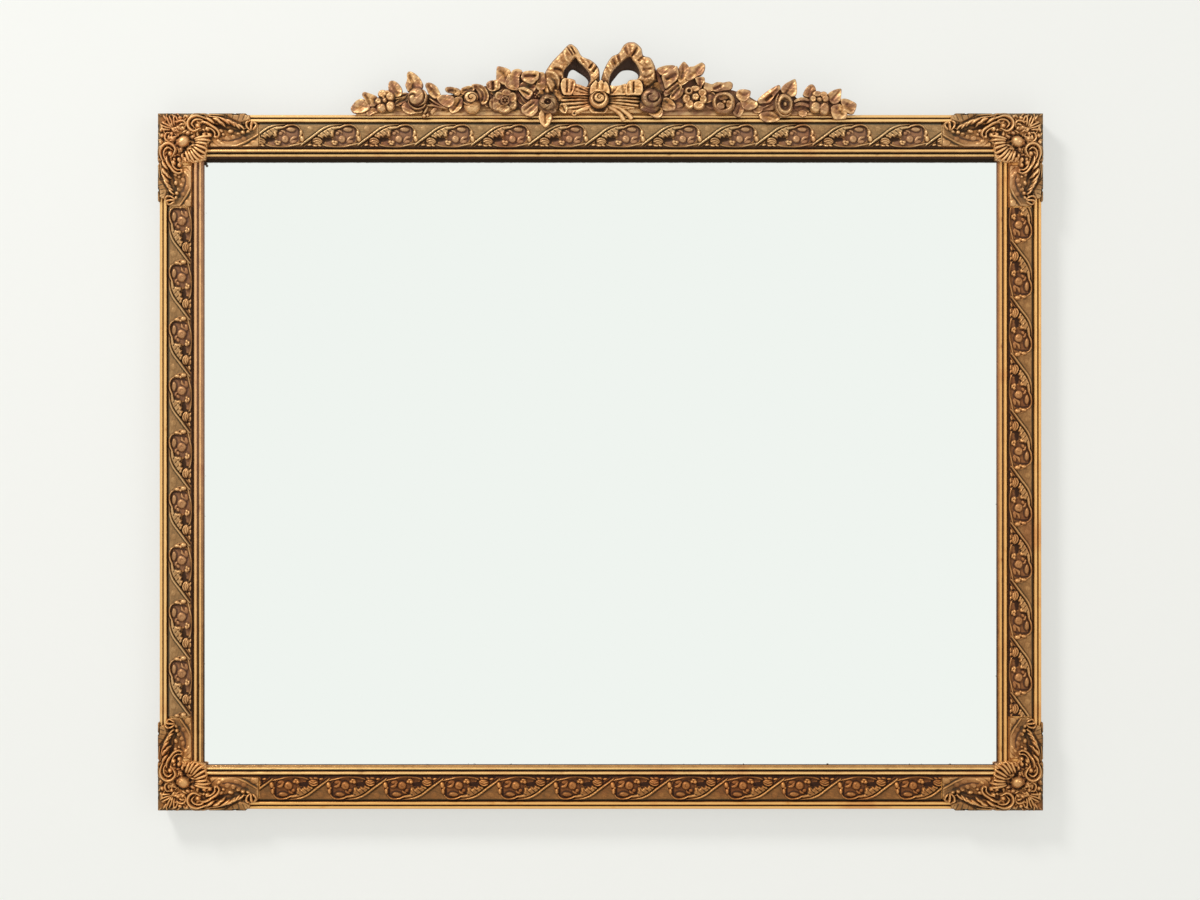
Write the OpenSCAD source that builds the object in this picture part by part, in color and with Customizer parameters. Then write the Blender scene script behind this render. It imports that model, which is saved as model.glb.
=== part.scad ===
// Overmantel mirror in a gilt moulded frame: mitred softwood rails with pressed
// composition friezes and corners, a rose-and-ribbon crest, a silvered glass plate,
// a backboard and two strap hangers with swinging rings.
// The wall plane is y = 0, the mirror faces -Y, and z = 0 is the middle of the bottom rail.

/* [Frame] */
// Width over the moulding
frame_w = 916; // [700:1:1100]
// Height over the moulding, without the crest
frame_h = 721; // [560:1:900]
// Depth of the rebate ledge from the wall plane, where the glass rests
ledge_d = 12; // [10:0.5:12.5]
// Width of the rebate behind the inner beads
rebate_w = 9; // [7:0.5:11]

/* [Moulding] */
// Radius of the outermost bead
bead1_r = 1.9; // [1.5:0.1:2.2]
// Radius of the second outer bead
bead2_r = 2; // [1.5:0.1:2.2]
// Radius of the inner bead beside the frieze
bead3_r = 1.9; // [1.5:0.1:2.2]
// Radius of the innermost bead at the sight edge
bead4_r = 1.7; // [1.4:0.1:2]
// Width of the flat field that carries the frieze
field_w = 25.2; // [22:0.1:28]
// Depth of that field from the wall plane
field_d = 19.4; // [18:0.1:21]
// Width of the sloping sight lip
lip_w = 2; // [1:0.1:3]

/* [Glass and back] */
// Thickness of the silvered glass plate
glass_t = 4; // [3:0.5:5]
// Thickness of the backboard
board_t = 3; // [2:0.5:4]
// Gap between the glass edge and the rebate wall, filled by the packers
glass_gap = 1.6; // [1:0.1:3]
// Length of a packer
packer_l = 30; // [20:1:50]
// Radius of a headless sprig that holds the backboard
sprig_r = 0.6; // [0.5:0.05:0.8]
// Length of a sprig
sprig_l = 14; // [10:1:18]

/* [Corner nails] */
// Shank radius of a mitre nail
nail_r = 1; // [0.8:0.1:1.4]
// Length of a mitre nail
nail_l = 40; // [32:1:50]

/* [Frieze] */
// Repeats of the leaf and berry pattern on the top and bottom rails
repeats_long = 12; // [8:1:14]
// Repeats on the side rails
repeats_short = 9; // [6:1:11]
// Thickness of the pressed strip under its relief
strip_t = 1.6; // [1.2:0.1:2]

/* [Corners] */
// Reach of a corner ornament along the top or bottom rail
arm_long = 104; // [96:1:120]
// Reach of a corner ornament along a side rail
arm_short = 96; // [88:1:110]

/* [Crest] */
// Height of the plinth on top of the top rail
plinth_h = 9; // [6:0.5:12]
// Length of the plinth
plinth_l = 424; // [380:1:460]
// Thickness of the plinth from back to front
plinth_t = 13; // [10:0.5:13]
// Thickness of the layer of leaves and ribbons
spray_t = 6; // [4:0.5:8]

/* [Hangers] */
// Width of a hanger strap
strap_w = 16; // [12:1:20]
// Length of a hanger strap below its eye
strap_l = 46; // [36:1:60]
// Thickness of the strap metal
strap_t = 1.2; // [0.8:0.1:1.6]
// Wire radius of the hanging ring
ring_r = 1.3; // [1:0.1:1.6]
// Width of the ring between the centres of its legs
ring_w = 23; // [21:1:30]
// Height of the hangers' eyes below the top edge of the frame
hanger_drop = 190; // [120:5:260]

/* [Hidden] */
$fn = 48;

// colours
gilt = "#a5793a";
old_gilt = "#7d5730";
pine = "#c9a878";
ply = "#b8925f";
silvered = "#dfe8e4";
iron = "#5a5650";
brass = "#b08d4a";

// moulding section, measured inwards from the outer edge
quirk_w = 0.5;
field_quirk_w = 1.1;
bead1_u = bead1_r;
bead2_u = 2 * bead1_r + quirk_w + bead2_r;
field_u = bead2_u + bead2_r + field_quirk_w;
bead3_u = field_u + field_w + field_quirk_w + bead3_r;
bead4_u = bead3_u + bead3_r + quirk_w + bead4_r;
lip_u = bead4_u + bead4_r;
rail_w = lip_u + lip_w;
bead1_d = field_d - 1.2;
bead2_d = field_d + 0.6;
bead3_d = field_d + 0.5;
bead4_d = field_d - 1.5;
quirk_d = field_d - 0.8;
low_quirk_d = field_d - 2;
lip_edge_d = ledge_d + 2.6;
bead_top = max(bead1_d + bead1_r, bead2_d + bead2_r, bead3_d + bead3_r, bead4_d + bead4_r);

// places on the wall plane
centre_z = frame_h / 2 - rail_w / 2;
top_z = frame_h - rail_w / 2;
rest_gap = 0.1;
seat_d = bead_top + rest_gap;
strip_d = field_d + strip_t;

// rebate and what it holds
rebate_u = rail_w - rebate_w;
glass_w = frame_w - 2 * (rebate_u + glass_gap);
glass_h = frame_h - 2 * (rebate_u + glass_gap);
packer_gap = 0.1;
board_gap = 0.5;
board_back_d = ledge_d - glass_t - board_t;
sprig_d = board_back_d - sprig_r - rest_gap;
sprig_in = 6;
sprig_pitch = 130;
bore_gap = 0.02;

// mitre nails
nail_head_r = 2;
nail_head_t = 0.8;
nail_sink = 1;
nail_d = 7;
nail_places = [12, 24];

// frieze
frieze_gap = 0.3;
side_gap = 0.1;
wave_a = 9.6;
frieze_berry = [36, -1.5];
crossing_shift = [0.93, 0.25, 0.01, 0.82];

// corners, measured inwards from the outer corner with x along the long arm
boss_at = [25.5, 27.5];
fan_at = [30, 32];
shell_at = [17, 17];
coil_at = [38.5, 9.5];
plume = [[54, 5], [68, 9], [82, 13]];
plume_lobes = [[50, 9.5], [60, 11.5], [70, 13.5], [80, 15.5]];
low_lobes = [[60, 26], [73, 27], [86, 28]];
arm_outline = [[76, 1], [98, 7], [arm_long, 12], [99, 18], [84, 20], [66, 24], [51, 25]];
fan_outline = [[50, 36], [46, 46], [36, 49]];
skirt_t = 1;
skirt_l = 54;
skirt_low_d = 12;
plate_t = 1.6;

// crest, measured from the top edge of the frame
plinth_d = 6;
spray_d = plinth_d + plinth_t;
flower_d = spray_d + spray_t + rest_gap;
ground_t = seat_d - spray_d + 0.5;
low_t = spray_d + spray_t - seat_d;
bow_seat = 19.8;
bow_half = 61;
screw_r = 1.75;
screw_l = 30;
screw_head_r = 3.5;
screw_head_t = 2.6;
crest_screw_x = [-180, -78, 78, 180];

// hangers
eye_gap = 0.08;
eye_r = ring_r + eye_gap + strap_t;
ring_leg = 4;
ring_bend = 3;
hanger_x = frame_w / 2 - rebate_u / 2;
hanger_z = top_z - hanger_drop;
strap_holes = [-24, -38];
hole_gap = 0.15;

// ---- general helpers ----

// Draws its children on the wall plane: x to the right, y up, z forward to the room.
module face() {
    rotate([90, 0, 0]) children();
}

// Puts its children at one side of the frame, seen from the front: 0 top, 1 left, 2 bottom, 3 right.
// There y = 0 is the outer edge, -y points inwards and x runs along the rail.
module on_side(side) {
    face() translate([0, centre_z, 0]) rotate([0, 0, 90 * side])
        translate([0, side_half(side), 0]) children();
}

function side_len(side) = side % 2 == 0 ? frame_w : frame_h;
function side_half(side) = side % 2 == 0 ? frame_h / 2 : frame_w / 2;
function side_arm(side) = side % 2 == 0 ? arm_long : arm_short;

// Puts its children on the top edge of the frame, at a height over it and a depth off the wall.
module on_crest() {
    face() translate([0, top_z, 0]) children();
}

// Closed solid through rings of points, each ring anticlockwise as seen from the last one.
module loft(rings) {
    n = len(rings[0]);
    m = len(rings);
    sides = [for (i = [0:m - 2], j = [0:n - 1]) each quad(i * n + j, i * n + (j + 1) % n, n)];
    first = [for (j = [0:n - 1]) j];
    last = [for (j = [n - 1:-1:0]) (m - 1) * n + j];
    polyhedron([for (r = rings) each r], concat(sides, [first, last]));
}

// Closed hoop: as loft(), with the last ring joined to the first.
module loft_hoop(rings) {
    n = len(rings[0]);
    m = len(rings);
    function up(k) = (k + n) % (n * m);
    polyhedron([for (r = rings) each r], [for (i = [0:m - 1], j = [0:n - 1])
        let (a = i * n + j, b = i * n + (j + 1) % n) each [[a, up(a), b], [b, up(a), up(b)]]]);
}

// Two triangles between neighbours a and b of one ring and the same two of the next.
function quad(a, b, n) = [[a, a + n, b], [b, a + n, b + n]];

// Leaf from its base to its tip, w wide, standing h forward of depth d, with a raised midrib.
module leaf(base, tip, w, d, h) {
    v = tip - base;
    stations = [[0, 0.34], [0.34, 1], [0.74, 0.66], [1, 0.08]];
    translate([base.x, base.y, d]) rotate([0, 0, atan2(v.y, v.x)])
        loft([for (s = stations) let (x = s[0] * norm(v), y = s[1] * w / 2, lift = h * (1 - 0.25 * s[0]))
            [[x, -y, 0], [x, y, 0], [x, 0, lift]]]);
}

// Straight ridge with sloping ends between two points on the plane, r wide each side at its foot.
module ridge(a, b, r, d, h) {
    v = b - a;
    hull() for (e = [[a, h], [b, h * 0.8]])
        translate([e[0].x, e[0].y, d]) rotate([0, 0, atan2(v.y, v.x) + 45])
            cylinder(r1 = r * sqrt(2), r2 = 0, h = e[1], $fn = 4);
}

// Ridge swept along a line of points, r wide each side at its middle and as high as h over depth d.
module swept_ridge(line, r, d, h) {
    n = len(line) - 1;
    loft([for (i = [0:n])
        let (v = line[min(i + 1, n)] - line[max(i - 1, 0)], k = 0.4 + 0.6 * sin(180 * i / n),
            off = r * k * [-v.y, v.x] / norm(v))
        [[line[i].x - off.x, line[i].y - off.y, d], [line[i].x + off.x, line[i].y + off.y, d],
            [line[i].x, line[i].y, d + h * k]]]);
}

// Low-sided dome for a berry or a boss.
module dome(p, rx, ry, turn, d, h) {
    translate([p.x, p.y, d]) rotate([0, 0, turn]) scale([rx, ry, h]) hull() {
        cylinder(r = 1, h = 0.4, $fn = 6);
        cylinder(r = 0.6, h = 1, $fn = 6);
    }
}

// Flower seen from the front: a cup of petals round a raised eye.
module flower(p, rx, ry, petals, d, h) {
    rings = [[0.72, 0], [1, 0.42], [0.8, 0.86], [0.42, 0.6], [0.3, 1]];
    sides = 2 * petals;
    translate([p.x, p.y, d]) loft([for (r = rings)
        [for (j = [0:sides - 1]) let (a = 360 * j / sides, k = r[0] * (1 + 0.1 * r[0] * cos(petals * a)))
            [rx * k * cos(a), ry * k * sin(a), h * r[1]]]]);
}

// ---- frame ----

// Section of the moulding with its outer edge at x = 0 and the wall plane at y = 0.
module moulding_section() {
    polygon([
        [0, 0], [0, bead1_d], [-2 * bead1_r, bead1_d], [-2 * bead1_r, low_quirk_d],
        [-2 * bead1_r - quirk_w, low_quirk_d], [bead2_r - bead2_u, bead2_d], [-bead2_u - bead2_r, bead2_d],
        [-bead2_u - bead2_r, quirk_d], [-field_u, quirk_d], [-field_u, field_d],
        [-field_u - field_w, field_d], [-field_u - field_w, quirk_d],
        [bead3_r - bead3_u, quirk_d], [bead3_r - bead3_u, bead3_d], [-bead3_u - bead3_r, bead3_d],
        [-bead3_u - bead3_r, low_quirk_d], [bead4_r - bead4_u, low_quirk_d], [bead4_r - bead4_u, bead4_d],
        [-lip_u, bead4_d], [-rail_w, lip_edge_d], [-rail_w, ledge_d], [-rebate_u, ledge_d], [-rebate_u, 0]
    ]);
    translate([-bead1_u, bead1_d]) circle(bead1_r);
    translate([-bead2_u, bead2_d]) circle(bead2_r);
    translate([-bead3_u, bead3_d]) circle(bead3_r);
    translate([-bead4_u, bead4_d]) circle(bead4_r);
}

// One mitred length of moulding, bored for its sprigs and its mitre nails.
module rail(side) {
    l = side_len(side);
    color(gilt) difference() {
        on_side(side) intersection() {
            rotate([90, 0, 90]) linear_extrude(l, center = true) moulding_section();
            linear_extrude(2 * bead_top)
                polygon([[-l / 2, 0], [l / 2, 0], [l / 2 - rail_w, -rail_w], [rail_w - l / 2, -rail_w]]);
        }
        side_sprigs(side, bore_gap);
        mitre_nail_set(bore_gap);
        if (side == 0) crest_screw_set(bore_gap);
        if (side == 1) hanger_screw_set(-1, bore_gap);
        if (side == 3) hanger_screw_set(1, bore_gap);
    }
}

function sprig_count(side) = max(2, floor((side_len(side) - 2 * rail_w) / sprig_pitch));

// Sprigs along one side, each half in the rail and half over the backboard.
module side_sprigs(side, grow) {
    n = sprig_count(side);
    span = side_len(side) - 2 * rail_w;
    for (i = [0:n - 1])
        on_side(side) translate([(i + 0.5) * span / n - span / 2, sprig_in - rebate_u + grow, sprig_d])
            rotate([90, 0, 0]) cylinder(r = sprig_r + grow, h = sprig_l + grow, $fn = 24);
}

module sprig_set() {
    color(iron) for (side = [0:3]) side_sprigs(side, 0);
}

// Nails driven from the top and bottom edges through each mitre into the side rails.
module mitre_nail_set(grow) {
    extra = grow > 0 ? nail_sink + 1 : 0;
    for (side = [0, 2], end = [-1, 1], u = nail_places)
        on_side(side) translate([end * (frame_w / 2 - u), extra - nail_sink, nail_d])
            rotate([90, 0, 0]) mitre_nail(grow, extra);
}

module mitre_nail(grow, extra) {
    cylinder(r = nail_head_r + grow, h = nail_head_t + extra + grow, $fn = 24);
    cylinder(r = nail_r + grow, h = nail_l + extra + grow, $fn = 24);
}

// ---- glass and back ----

module mirror_glass() {
    color(silvered) face() translate([-glass_w / 2, centre_z - glass_h / 2, ledge_d - glass_t])
        cube([glass_w, glass_h, glass_t]);
}

module glass_packers() {
    t = glass_gap - packer_gap;
    y = -rebate_u - packer_gap / 2 - t;
    color(pine) for (side = [0:3], end = [-1, 1]) on_side(side)
        translate([end * side_len(side) / 4 - packer_l / 2, y, ledge_d - glass_t])
            cube([packer_l, t, glass_t]);
}

module backboard() {
    w = frame_w - 2 * (rebate_u + board_gap);
    h = frame_h - 2 * (rebate_u + board_gap);
    color(ply) face() translate([-w / 2, centre_z - h / 2, board_back_d]) cube([w, h, board_t]);
}

// ---- frieze ----

// Height of the twisting stem over the middle of the field at distance x from where it crosses.
function stem_y(x, pitch) = let (t = x / (0.5 * pitch))
    wave_a * sin(90 * t / sqrt(1 + pow(abs(t), 3))) * (1 - 0.1 * t * t * abs(t) / 2);

// One repeat: a twisting stem, lobes spreading under it and a berry in its oval.
module frieze_unit(pitch) {
    line = [for (t = [-1.2, -0.6, 0, 0.6, 1.2]) [t * pitch / 2, stem_y(t * pitch / 2, pitch)]];
    swept_ridge(line, 2.6, -0.3, 4);
    for (i = [0:2]) let (x = 3 + 6.4 * i)
        ridge([x, stem_y(x, pitch) - 4], [8 + 5.8 * i, 3.4 * i - 9.4], 1.8, -0.3, 3.6);
    dome(frieze_berry, 4.6, 4.6, 10, -0.3, 4.4);
}

// Pressed strip with its repeats, cut off square at the corner ornaments.
module frieze(side) {
    n = side % 2 == 0 ? repeats_long : repeats_short;
    l = side_len(side) - 2 * side_arm(side) - 2 * frieze_gap;
    w = field_w - 2 * side_gap;
    pitch = l / n;
    color(old_gilt) on_side(side) translate([0, -field_u - field_w / 2, 0]) intersection() {
        union() {
            translate([-l / 2, -w / 2, field_d]) cube([l, w, strip_t]);
            for (i = [-2:n])
                translate([-l / 2 + (i + crossing_shift[side]) * pitch, 0, strip_d]) frieze_unit(pitch);
        }
        translate([-l / 2, -w / 2, field_d]) cube([l, w, 12]);
    }
}

// ---- corners ----

// Point measured inwards from an outer corner, a along the long arm and b along the short one.
function mirrored(p, on) = on ? [p.y, p.x] : p;

// Scroll: a coil with a tail that sweeps out along the arm to its tip.
module scroll(swap, reach) {
    coil = [for (i = [0:6]) let (a = 60 - 60 * i) coil_at + (1.5 + 1.05 * i) * [cos(a), -sin(a)]];
    swept_ridge([for (p = concat(coil, plume, [[reach - 6, 11]])) mirrored(p, swap)], 3.4, seat_d, 6.6);
}

// Outline of the ornament: both arms, the skirted corner and the fan over the sight corner.
module corner_outline() {
    k = arm_short / arm_long;
    long_arm = concat([[-skirt_t, -skirt_t], [skirt_l, -skirt_t]], arm_outline);
    short_arm = [for (i = [len(long_arm) - 1:-1:1]) [long_arm[i].y, long_arm[i].x * k]];
    polygon(concat(long_arm, fan_outline, short_arm));
}

// Foot of the ornament, filling the field from the mitre to the friezes.
module corner_foot() {
    inner = field_u + field_w - side_gap;
    outer = field_u + side_gap;
    polygon([[outer, outer], [arm_long, outer], [arm_long, inner], [inner, inner], [inner, arm_short],
        [outer, arm_short]]);
}

// Rib of a shell, from r1 to r2 off its middle in direction a.
module rib(p, a, r1, r2, w, h) {
    ridge(p + r1 * [cos(a), sin(a)], p + r2 * [cos(a), sin(a)], w, seat_d + 0.2, h);
}

// Short lobe of a plume between two points given for the long arm.
module lobe(a, b, swap, w, h) {
    ridge(mirrored(a, swap), mirrored(b, swap), w, seat_d + 0.2, h);
}

module corner_ornament() {
    translate([0, 0, field_d]) linear_extrude(seat_d - field_d + 0.4) corner_foot();
    translate([0, 0, seat_d]) linear_extrude(plate_t) corner_outline();
    translate([0, 0, skirt_low_d]) linear_extrude(seat_d - skirt_low_d + 0.5) polygon([
        [-skirt_t, -skirt_t], [skirt_l, -skirt_t], [skirt_l, -rest_gap], [-rest_gap, -rest_gap],
        [-rest_gap, skirt_l], [-skirt_t, skirt_l]]);
    for (a = [-15:20:105]) rib(fan_at, a, 5, 16, 2.1, 5.8);
    for (a = [175:20:275]) rib(shell_at, a, 6, 15, 2, 5);
    dome(boss_at, 6, 8, 45, seat_d, 9);
    for (swap = [false, true]) {
        scroll(swap, swap ? arm_short : arm_long);
        for (p = plume_lobes) lobe(p, p + [7, 7.5], swap, 2, 4.6);
        for (p = low_lobes) lobe(p, [p.x + 6, 31], swap, 2.2, 3.4);
    }
}

// Corner ornament mirrored to its place: x is -1 left or 1 right, up is 1 top or -1 bottom.
module corner(x, up) {
    color(old_gilt) face() translate([x * frame_w / 2, centre_z + up * frame_h / 2, 0])
        scale([-x, -up, 1]) corner_ornament();
}

// ---- crest ----

module crest_plinth() {
    color(gilt) difference() {
        on_crest() translate([-plinth_l / 2, 0, plinth_d]) cube([plinth_l, plinth_h, plinth_t]);
        crest_screw_set(bore_gap);
    }
}

module crest_screw_set(grow) {
    for (x = crest_screw_x) on_crest()
        translate([x, plinth_h + grow / 2, plinth_d + plinth_t / 2]) rotate([90, 0, 0])
            wood_screw(screw_r, screw_l, screw_head_r, screw_head_t, grow);
}

// Countersunk screw, its head's face at the origin and its shank along +z.
module wood_screw(r, l, head_r, head_t, grow) {
    cylinder(r1 = head_r + grow, r2 = r + grow, h = head_t, $fn = 24);
    cylinder(r = r + grow, h = l + grow, $fn = 24);
}

// Leaves: base, tip and width, on the plane above the top edge of the frame.
left_leaves = [
    [[-240, 8], [-259, 6.5], 12.5], [[-234, 10], [-247, 23], 9.5], [[-232, 8], [-242, 1.4], 7.5],
    [[-208, 14], [-218, 34], 12.5], [[-214, 12], [-200, 20.5], 4.5], [[-188, 22], [-199, 43.5], 15.5],
    [[-188, 9], [-205, 5.5], 10.5], [[-165, 16], [-181, 31], 12], [[-148, 12], [-167, 17.5], 11.5],
    [[-147, 17], [-161, 26], 7.5], [[-147, 14], [-154, 2.5], 9.5], [[-132, 18], [-144, 25], 7.5],
    [[-134, 19.5], [-119, 30], 10.5], [[-97, 25], [-107, 48], 15], [[-86, 24], [-89, 46.5], 14.5],
    [[-105, 8], [-117, 12.5], 6.5], [[-66, 14], [-79.5, 2], 13.5]
];
right_leaves = [
    [[65.5, 14.5], [76, 5], 12.5], [[82, 32], [86, 54], 12.5], [[92, 28], [105.5, 53], 14.5],
    [[104, 26], [102.5, 40], 8.5], [[114.5, 22], [134.5, 33.5], 8.5], [[118, 18], [136.5, 26], 7.5],
    [[139.5, 14], [156.5, 26], 11.5], [[146, 10.5], [163.5, 13.5], 10.5], [[146, 9.5], [142, 1.4], 8.5],
    [[160, 10], [186.5, 29], 8.5], [[188.5, 18], [201, 35.5], 12.5], [[181, 9.5], [168, 3], 7.5],
    [[214, 13], [220, 30], 10.5], [[236, 11], [248, 26], 11.5], [[240, 9], [264, 9.5], 13.5],
    [[240, 8], [249, 1.4], 8.5], [[203, 5], [216, 3.5], 7.5]
];
// Leaf that hangs in front of the beads, and its stalk.
hanging_leaf = [[164.5, -3.5], [185.5, -4.5], 9.5];
hanging_stalk = [[170, 6], [173, -3], 2.4];
// Buds: foot of the stem, middle and radius. The hanging one lies in front of the beads.
left_bud = [[-226, 10], [-237, 5.2], 4.5];
hanging_bud = [[-176, 8], [-182, -0.5], 4];
right_bud = [[200, 14], [208, 6], 4];
// Pleated ribbon among the leaves: its two ends, width and number of pleats.
left_folds = [[[-112, 21], [-112, 36], 13, 3], [[-86, 35], [-64, 34], 17, 3]];
right_folds = [[[60, 35], [80, 41], 19, 3], [[68, 22], [90, 31], 9, 2]];
// Tails of the bow: from the knot to each end, then the three that bend down over the beads.
tail_start = [5, 14];
tail_ends = [[-41, 17.4], [-42, 14], [-41, 10.5], [-36, 7], [41, 17.4], [42, 13.6], [40, 10], [36, 6.4]];
low_tail_start = 9;
low_tails = [[-28, 2.4], [24, 2.4], [32, 3]];
tail_tips = [[-28, -1], [24, -5], [32, -3.4]];
// Leaves under the two inner roses.
bow_leaves = [[[-53, 3], [-53, -12], 12], [[60, 5.4], [51, 0.5], 7]];
// Outlines of the pressed ground that carries the leaves of each spray.
left_ground = [[-246, 2], [-62, 2], [-62, 20], [-66, 30], [-96, 30], [-120, 24], [-145, 20], [-160, 15],
    [-178, 20], [-200, 20], [-212, 14], [-224, 18], [-240, 12]];
right_ground = [[62, 2], [246, 2], [240, 13], [224, 17], [208, 15], [192, 21], [180, 17], [160, 12],
    [150, 18], [132, 22], [112, 26], [92, 33], [70, 35], [62, 26]];

// Flower heads: middle, half width, half height and number of petals.
blossom_left_at = [[-223, 12.5], 8.8, 8.8, 6];
rosebud_left_at = [[-189, 17], 10.8, 10.8, 5];
cupped_rose_left_at = [[-133.3, 13], 8, 11, 5];
open_rose_left_at = [[-99.7, 13.3], 13.4, 13.4, 7];
inner_rose_left_at = [[-53.2, 10.5], 10.4, 10.4, 5];
inner_rose_right_at = [[50, 14], 12, 13.5, 5];
open_rose_right_at = [[97.5, 17], 11.6, 11.6, 5];
cupped_rose_right_at = [[127.8, 9.8], 11.4, 11.4, 5];
rosebud_right_at = [[189.5, 11], 8, 12, 5];
blossom_right_at = [[226, 11], 10, 12, 6];
left_flowers = [blossom_left_at, rosebud_left_at, cupped_rose_left_at, open_rose_left_at];
right_flowers = [open_rose_right_at, cupped_rose_right_at, rosebud_right_at, blossom_right_at];

// Pad behind a flower head, from the plinth's face to the back of the flower.
module flower_pad(f) {
    r = 0.45 * min(f[1], f[2]);
    translate([f[0].x, max(f[0].y, r + 1), spray_d]) cylinder(r = r, h = spray_t, $fn = 8);
}

// Stretch of pleated ribbon between two points, w wide.
module ribbon_fold(a, b, w, pleats) {
    v = b - a;
    pleat = w / pleats;
    valley = 0.5 * spray_t;
    translate([a.x, a.y, spray_d]) rotate([0, 0, atan2(v.y, v.x)]) rotate([90, 0, 90])
        linear_extrude(norm(v)) polygon([[-w / 2, 0], [w / 2, 0], for (i = [pleats - 1:-1:0]) each
            [[(i + 1) * pleat - w / 2, valley], [(i + 0.5) * pleat - w / 2, spray_t]], [-w / 2, valley]]);
}

// Small round bud on its stem, with its back at depth d.
module bud(b, d) {
    dome(b[1], b[2], b[2], 0, d, spray_d + spray_t - d);
    ridge(b[0], b[1], 0.28 * b[2], d, (spray_d + spray_t - d) * 0.8);
}

module spray_left() {
    color(old_gilt) on_crest() {
        translate([0, 0, spray_d]) linear_extrude(ground_t) polygon(left_ground);
        for (l = left_leaves) leaf(l[0], l[1], l[2], spray_d, spray_t);
        for (f = left_flowers) flower_pad(f);
        for (r = left_folds) ribbon_fold(r[0], r[1], r[2], r[3]);
        bud(left_bud, spray_d);
        bud(hanging_bud, seat_d);
    }
}

module spray_right() {
    color(old_gilt) on_crest() {
        translate([0, 0, spray_d]) linear_extrude(ground_t) polygon(right_ground);
        for (l = right_leaves) leaf(l[0], l[1], l[2], spray_d, spray_t);
        leaf(hanging_leaf[0], hanging_leaf[1], hanging_leaf[2], seat_d, low_t);
        ridge(hanging_stalk[0], hanging_stalk[1], hanging_stalk[2], seat_d, low_t);
        for (f = right_flowers) flower_pad(f);
        for (r = right_folds) ribbon_fold(r[0], r[1], r[2], r[3]);
        bud(right_bud, spray_d);
    }
}

// Pleated base of the bow: tails that spread from under the knot, and the pads of the two inner roses.
module bow_base() {
    color(old_gilt) on_crest() {
        translate([0, 0, spray_d]) linear_extrude(ground_t)
            polygon([[-bow_half, 1], [bow_half, 1], [bow_half, 12], [bow_half - 4, bow_seat - rest_gap],
                [4 - bow_half, bow_seat - rest_gap], [-bow_half, 12]]);
        for (e = tail_ends) ridge([sign(e.x) * tail_start.x, tail_start.y], e, 1.6, spray_d, spray_t);
        for (f = [inner_rose_left_at, inner_rose_right_at]) flower_pad(f);
        for (e = low_tails) ridge([e.x * 0.3, low_tail_start], e, 2, spray_d, spray_t);
        for (i = [0:2]) ridge([tail_tips[i].x, 0.9 * low_tails[i].y], tail_tips[i], 2.2, seat_d, low_t);
        for (l = bow_leaves) leaf(l[0], l[1], l[2], seat_d, low_t);
    }
}

// Outlines of the two loops from beside the knot, over the top and down to the base of the bow.
left_loop = [[-7, 19], [-0.6, 27], [-0.6, 36], [-2, 48], [-10, 56], [-19, 60], [-25, 69], [-32, 72.6],
    [-40, 65], [-50, 54.5], [-57, 44], [-58, 36], [-56, 28], [-50, 19], [-38, 19], [-22, 19]];
right_loop = [[50, 19], [56, 28], [58, 37], [57, 48], [52, 58], [44.5, 61], [42, 69], [34, 74.9], [25, 72.5],
    [19, 63.5], [11, 59], [4, 47], [0.6, 36], [0.6, 27], [7, 19], [24, 19]];
// Hole inside each loop: middle, half length, half width and turn.
left_hole = [[-23.4, 38.2], 12, 7, -32];
right_hole = [[25.5, 38], 14, 7.6, 20];
knot_at = [-1.5, 15.2];
// Upper ends of the pleats that rise from the knot.
neck_tips = [[-9, 27.3], [-4, 28.8], [1, 29.7], [6, 28.2]];
loop_back_d = 14;
loop_front_d = 31;
hollow_d = 18;
// Height under which a loop stays behind the flowers.
low_loop = 28;

// Distance from the middle of a hole to its edge in direction a.
function hole_reach(hole, a) = let (t = a - hole[3])
    hole[1] * hole[2] / norm([hole[2] * cos(t), hole[1] * sin(t)]);

// Ribbon looped round its hole: out from the hollow, over the front and back to the wall side.
module bow_loop(outline, hole) {
    function section(p) = let (v = p - hole[0], a = atan2(v.y, v.x), in = hole_reach(hole, a), out = norm(v),
        front = p.y < low_loop ? flower_d - rest_gap : loop_front_d)
        [[in, hollow_d], [in + 0.4 * (out - in), front], [out, (hollow_d + front) / 2],
            [out - 1, loop_back_d], [in, loop_back_d]];
    color(old_gilt) on_crest() intersection() {
        loft_hoop([for (p = outline) let (v = (p - hole[0]) / norm(p - hole[0]))
            [for (q = section(p)) [hole[0].x + q[0] * v.x, hole[0].y + q[0] * v.y, q[1]]]]);
        translate([-frame_w / 2, bow_seat, 0]) cube([frame_w, frame_h, 2 * loop_front_d]);
    }
}

// Knot: a coiled button with pleats rising to both loops.
module bow_knot() {
    color(old_gilt) on_crest() {
        flower(knot_at, 10, 10, 5, flower_d, 9);
        for (p = neck_tips)
            ridge([p.x * 0.5 - 0.75, 20], p, 1.9, loop_front_d + rest_gap, 3);
        hull() {
            translate([knot_at.x, knot_at.y + 0.8, flower_d]) cylinder(r = 7, h = 7, $fn = 6);
            translate([knot_at.x, knot_at.y + 6.8, loop_front_d + rest_gap]) cylinder(r = 4, h = 2, $fn = 6);
        }
    }
}

module crest_flower(f) {
    color(old_gilt) on_crest() flower(f[0], f[1], f[2], f[3], flower_d, 9.5);
}

// ---- hangers ----

// Puts its children on the back of a side rail: x is -1 left or 1 right, y up from the eye, z backwards.
module on_hanger(x) {
    translate([x * hanger_x, 0, hanger_z]) rotate([90, 0, 0]) mirror([0, 0, 1]) children();
}

// Strap of folded metal with a rolled eye along x.
module hanger_strap(x) {
    color(brass) on_hanger(x) difference() {
        rotate([90, 0, 90]) linear_extrude(strap_w, center = true) difference() {
            union() {
                translate([-strap_l, 0]) square([strap_l, strap_t]);
                translate([0, eye_r]) circle(eye_r);
            }
            translate([0, eye_r]) circle(ring_r + eye_gap);
        }
        for (y = strap_holes) translate([0, y, -1])
            cylinder(r = screw_r + hole_gap, h = strap_t + 2, $fn = 24);
    }
}

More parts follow.
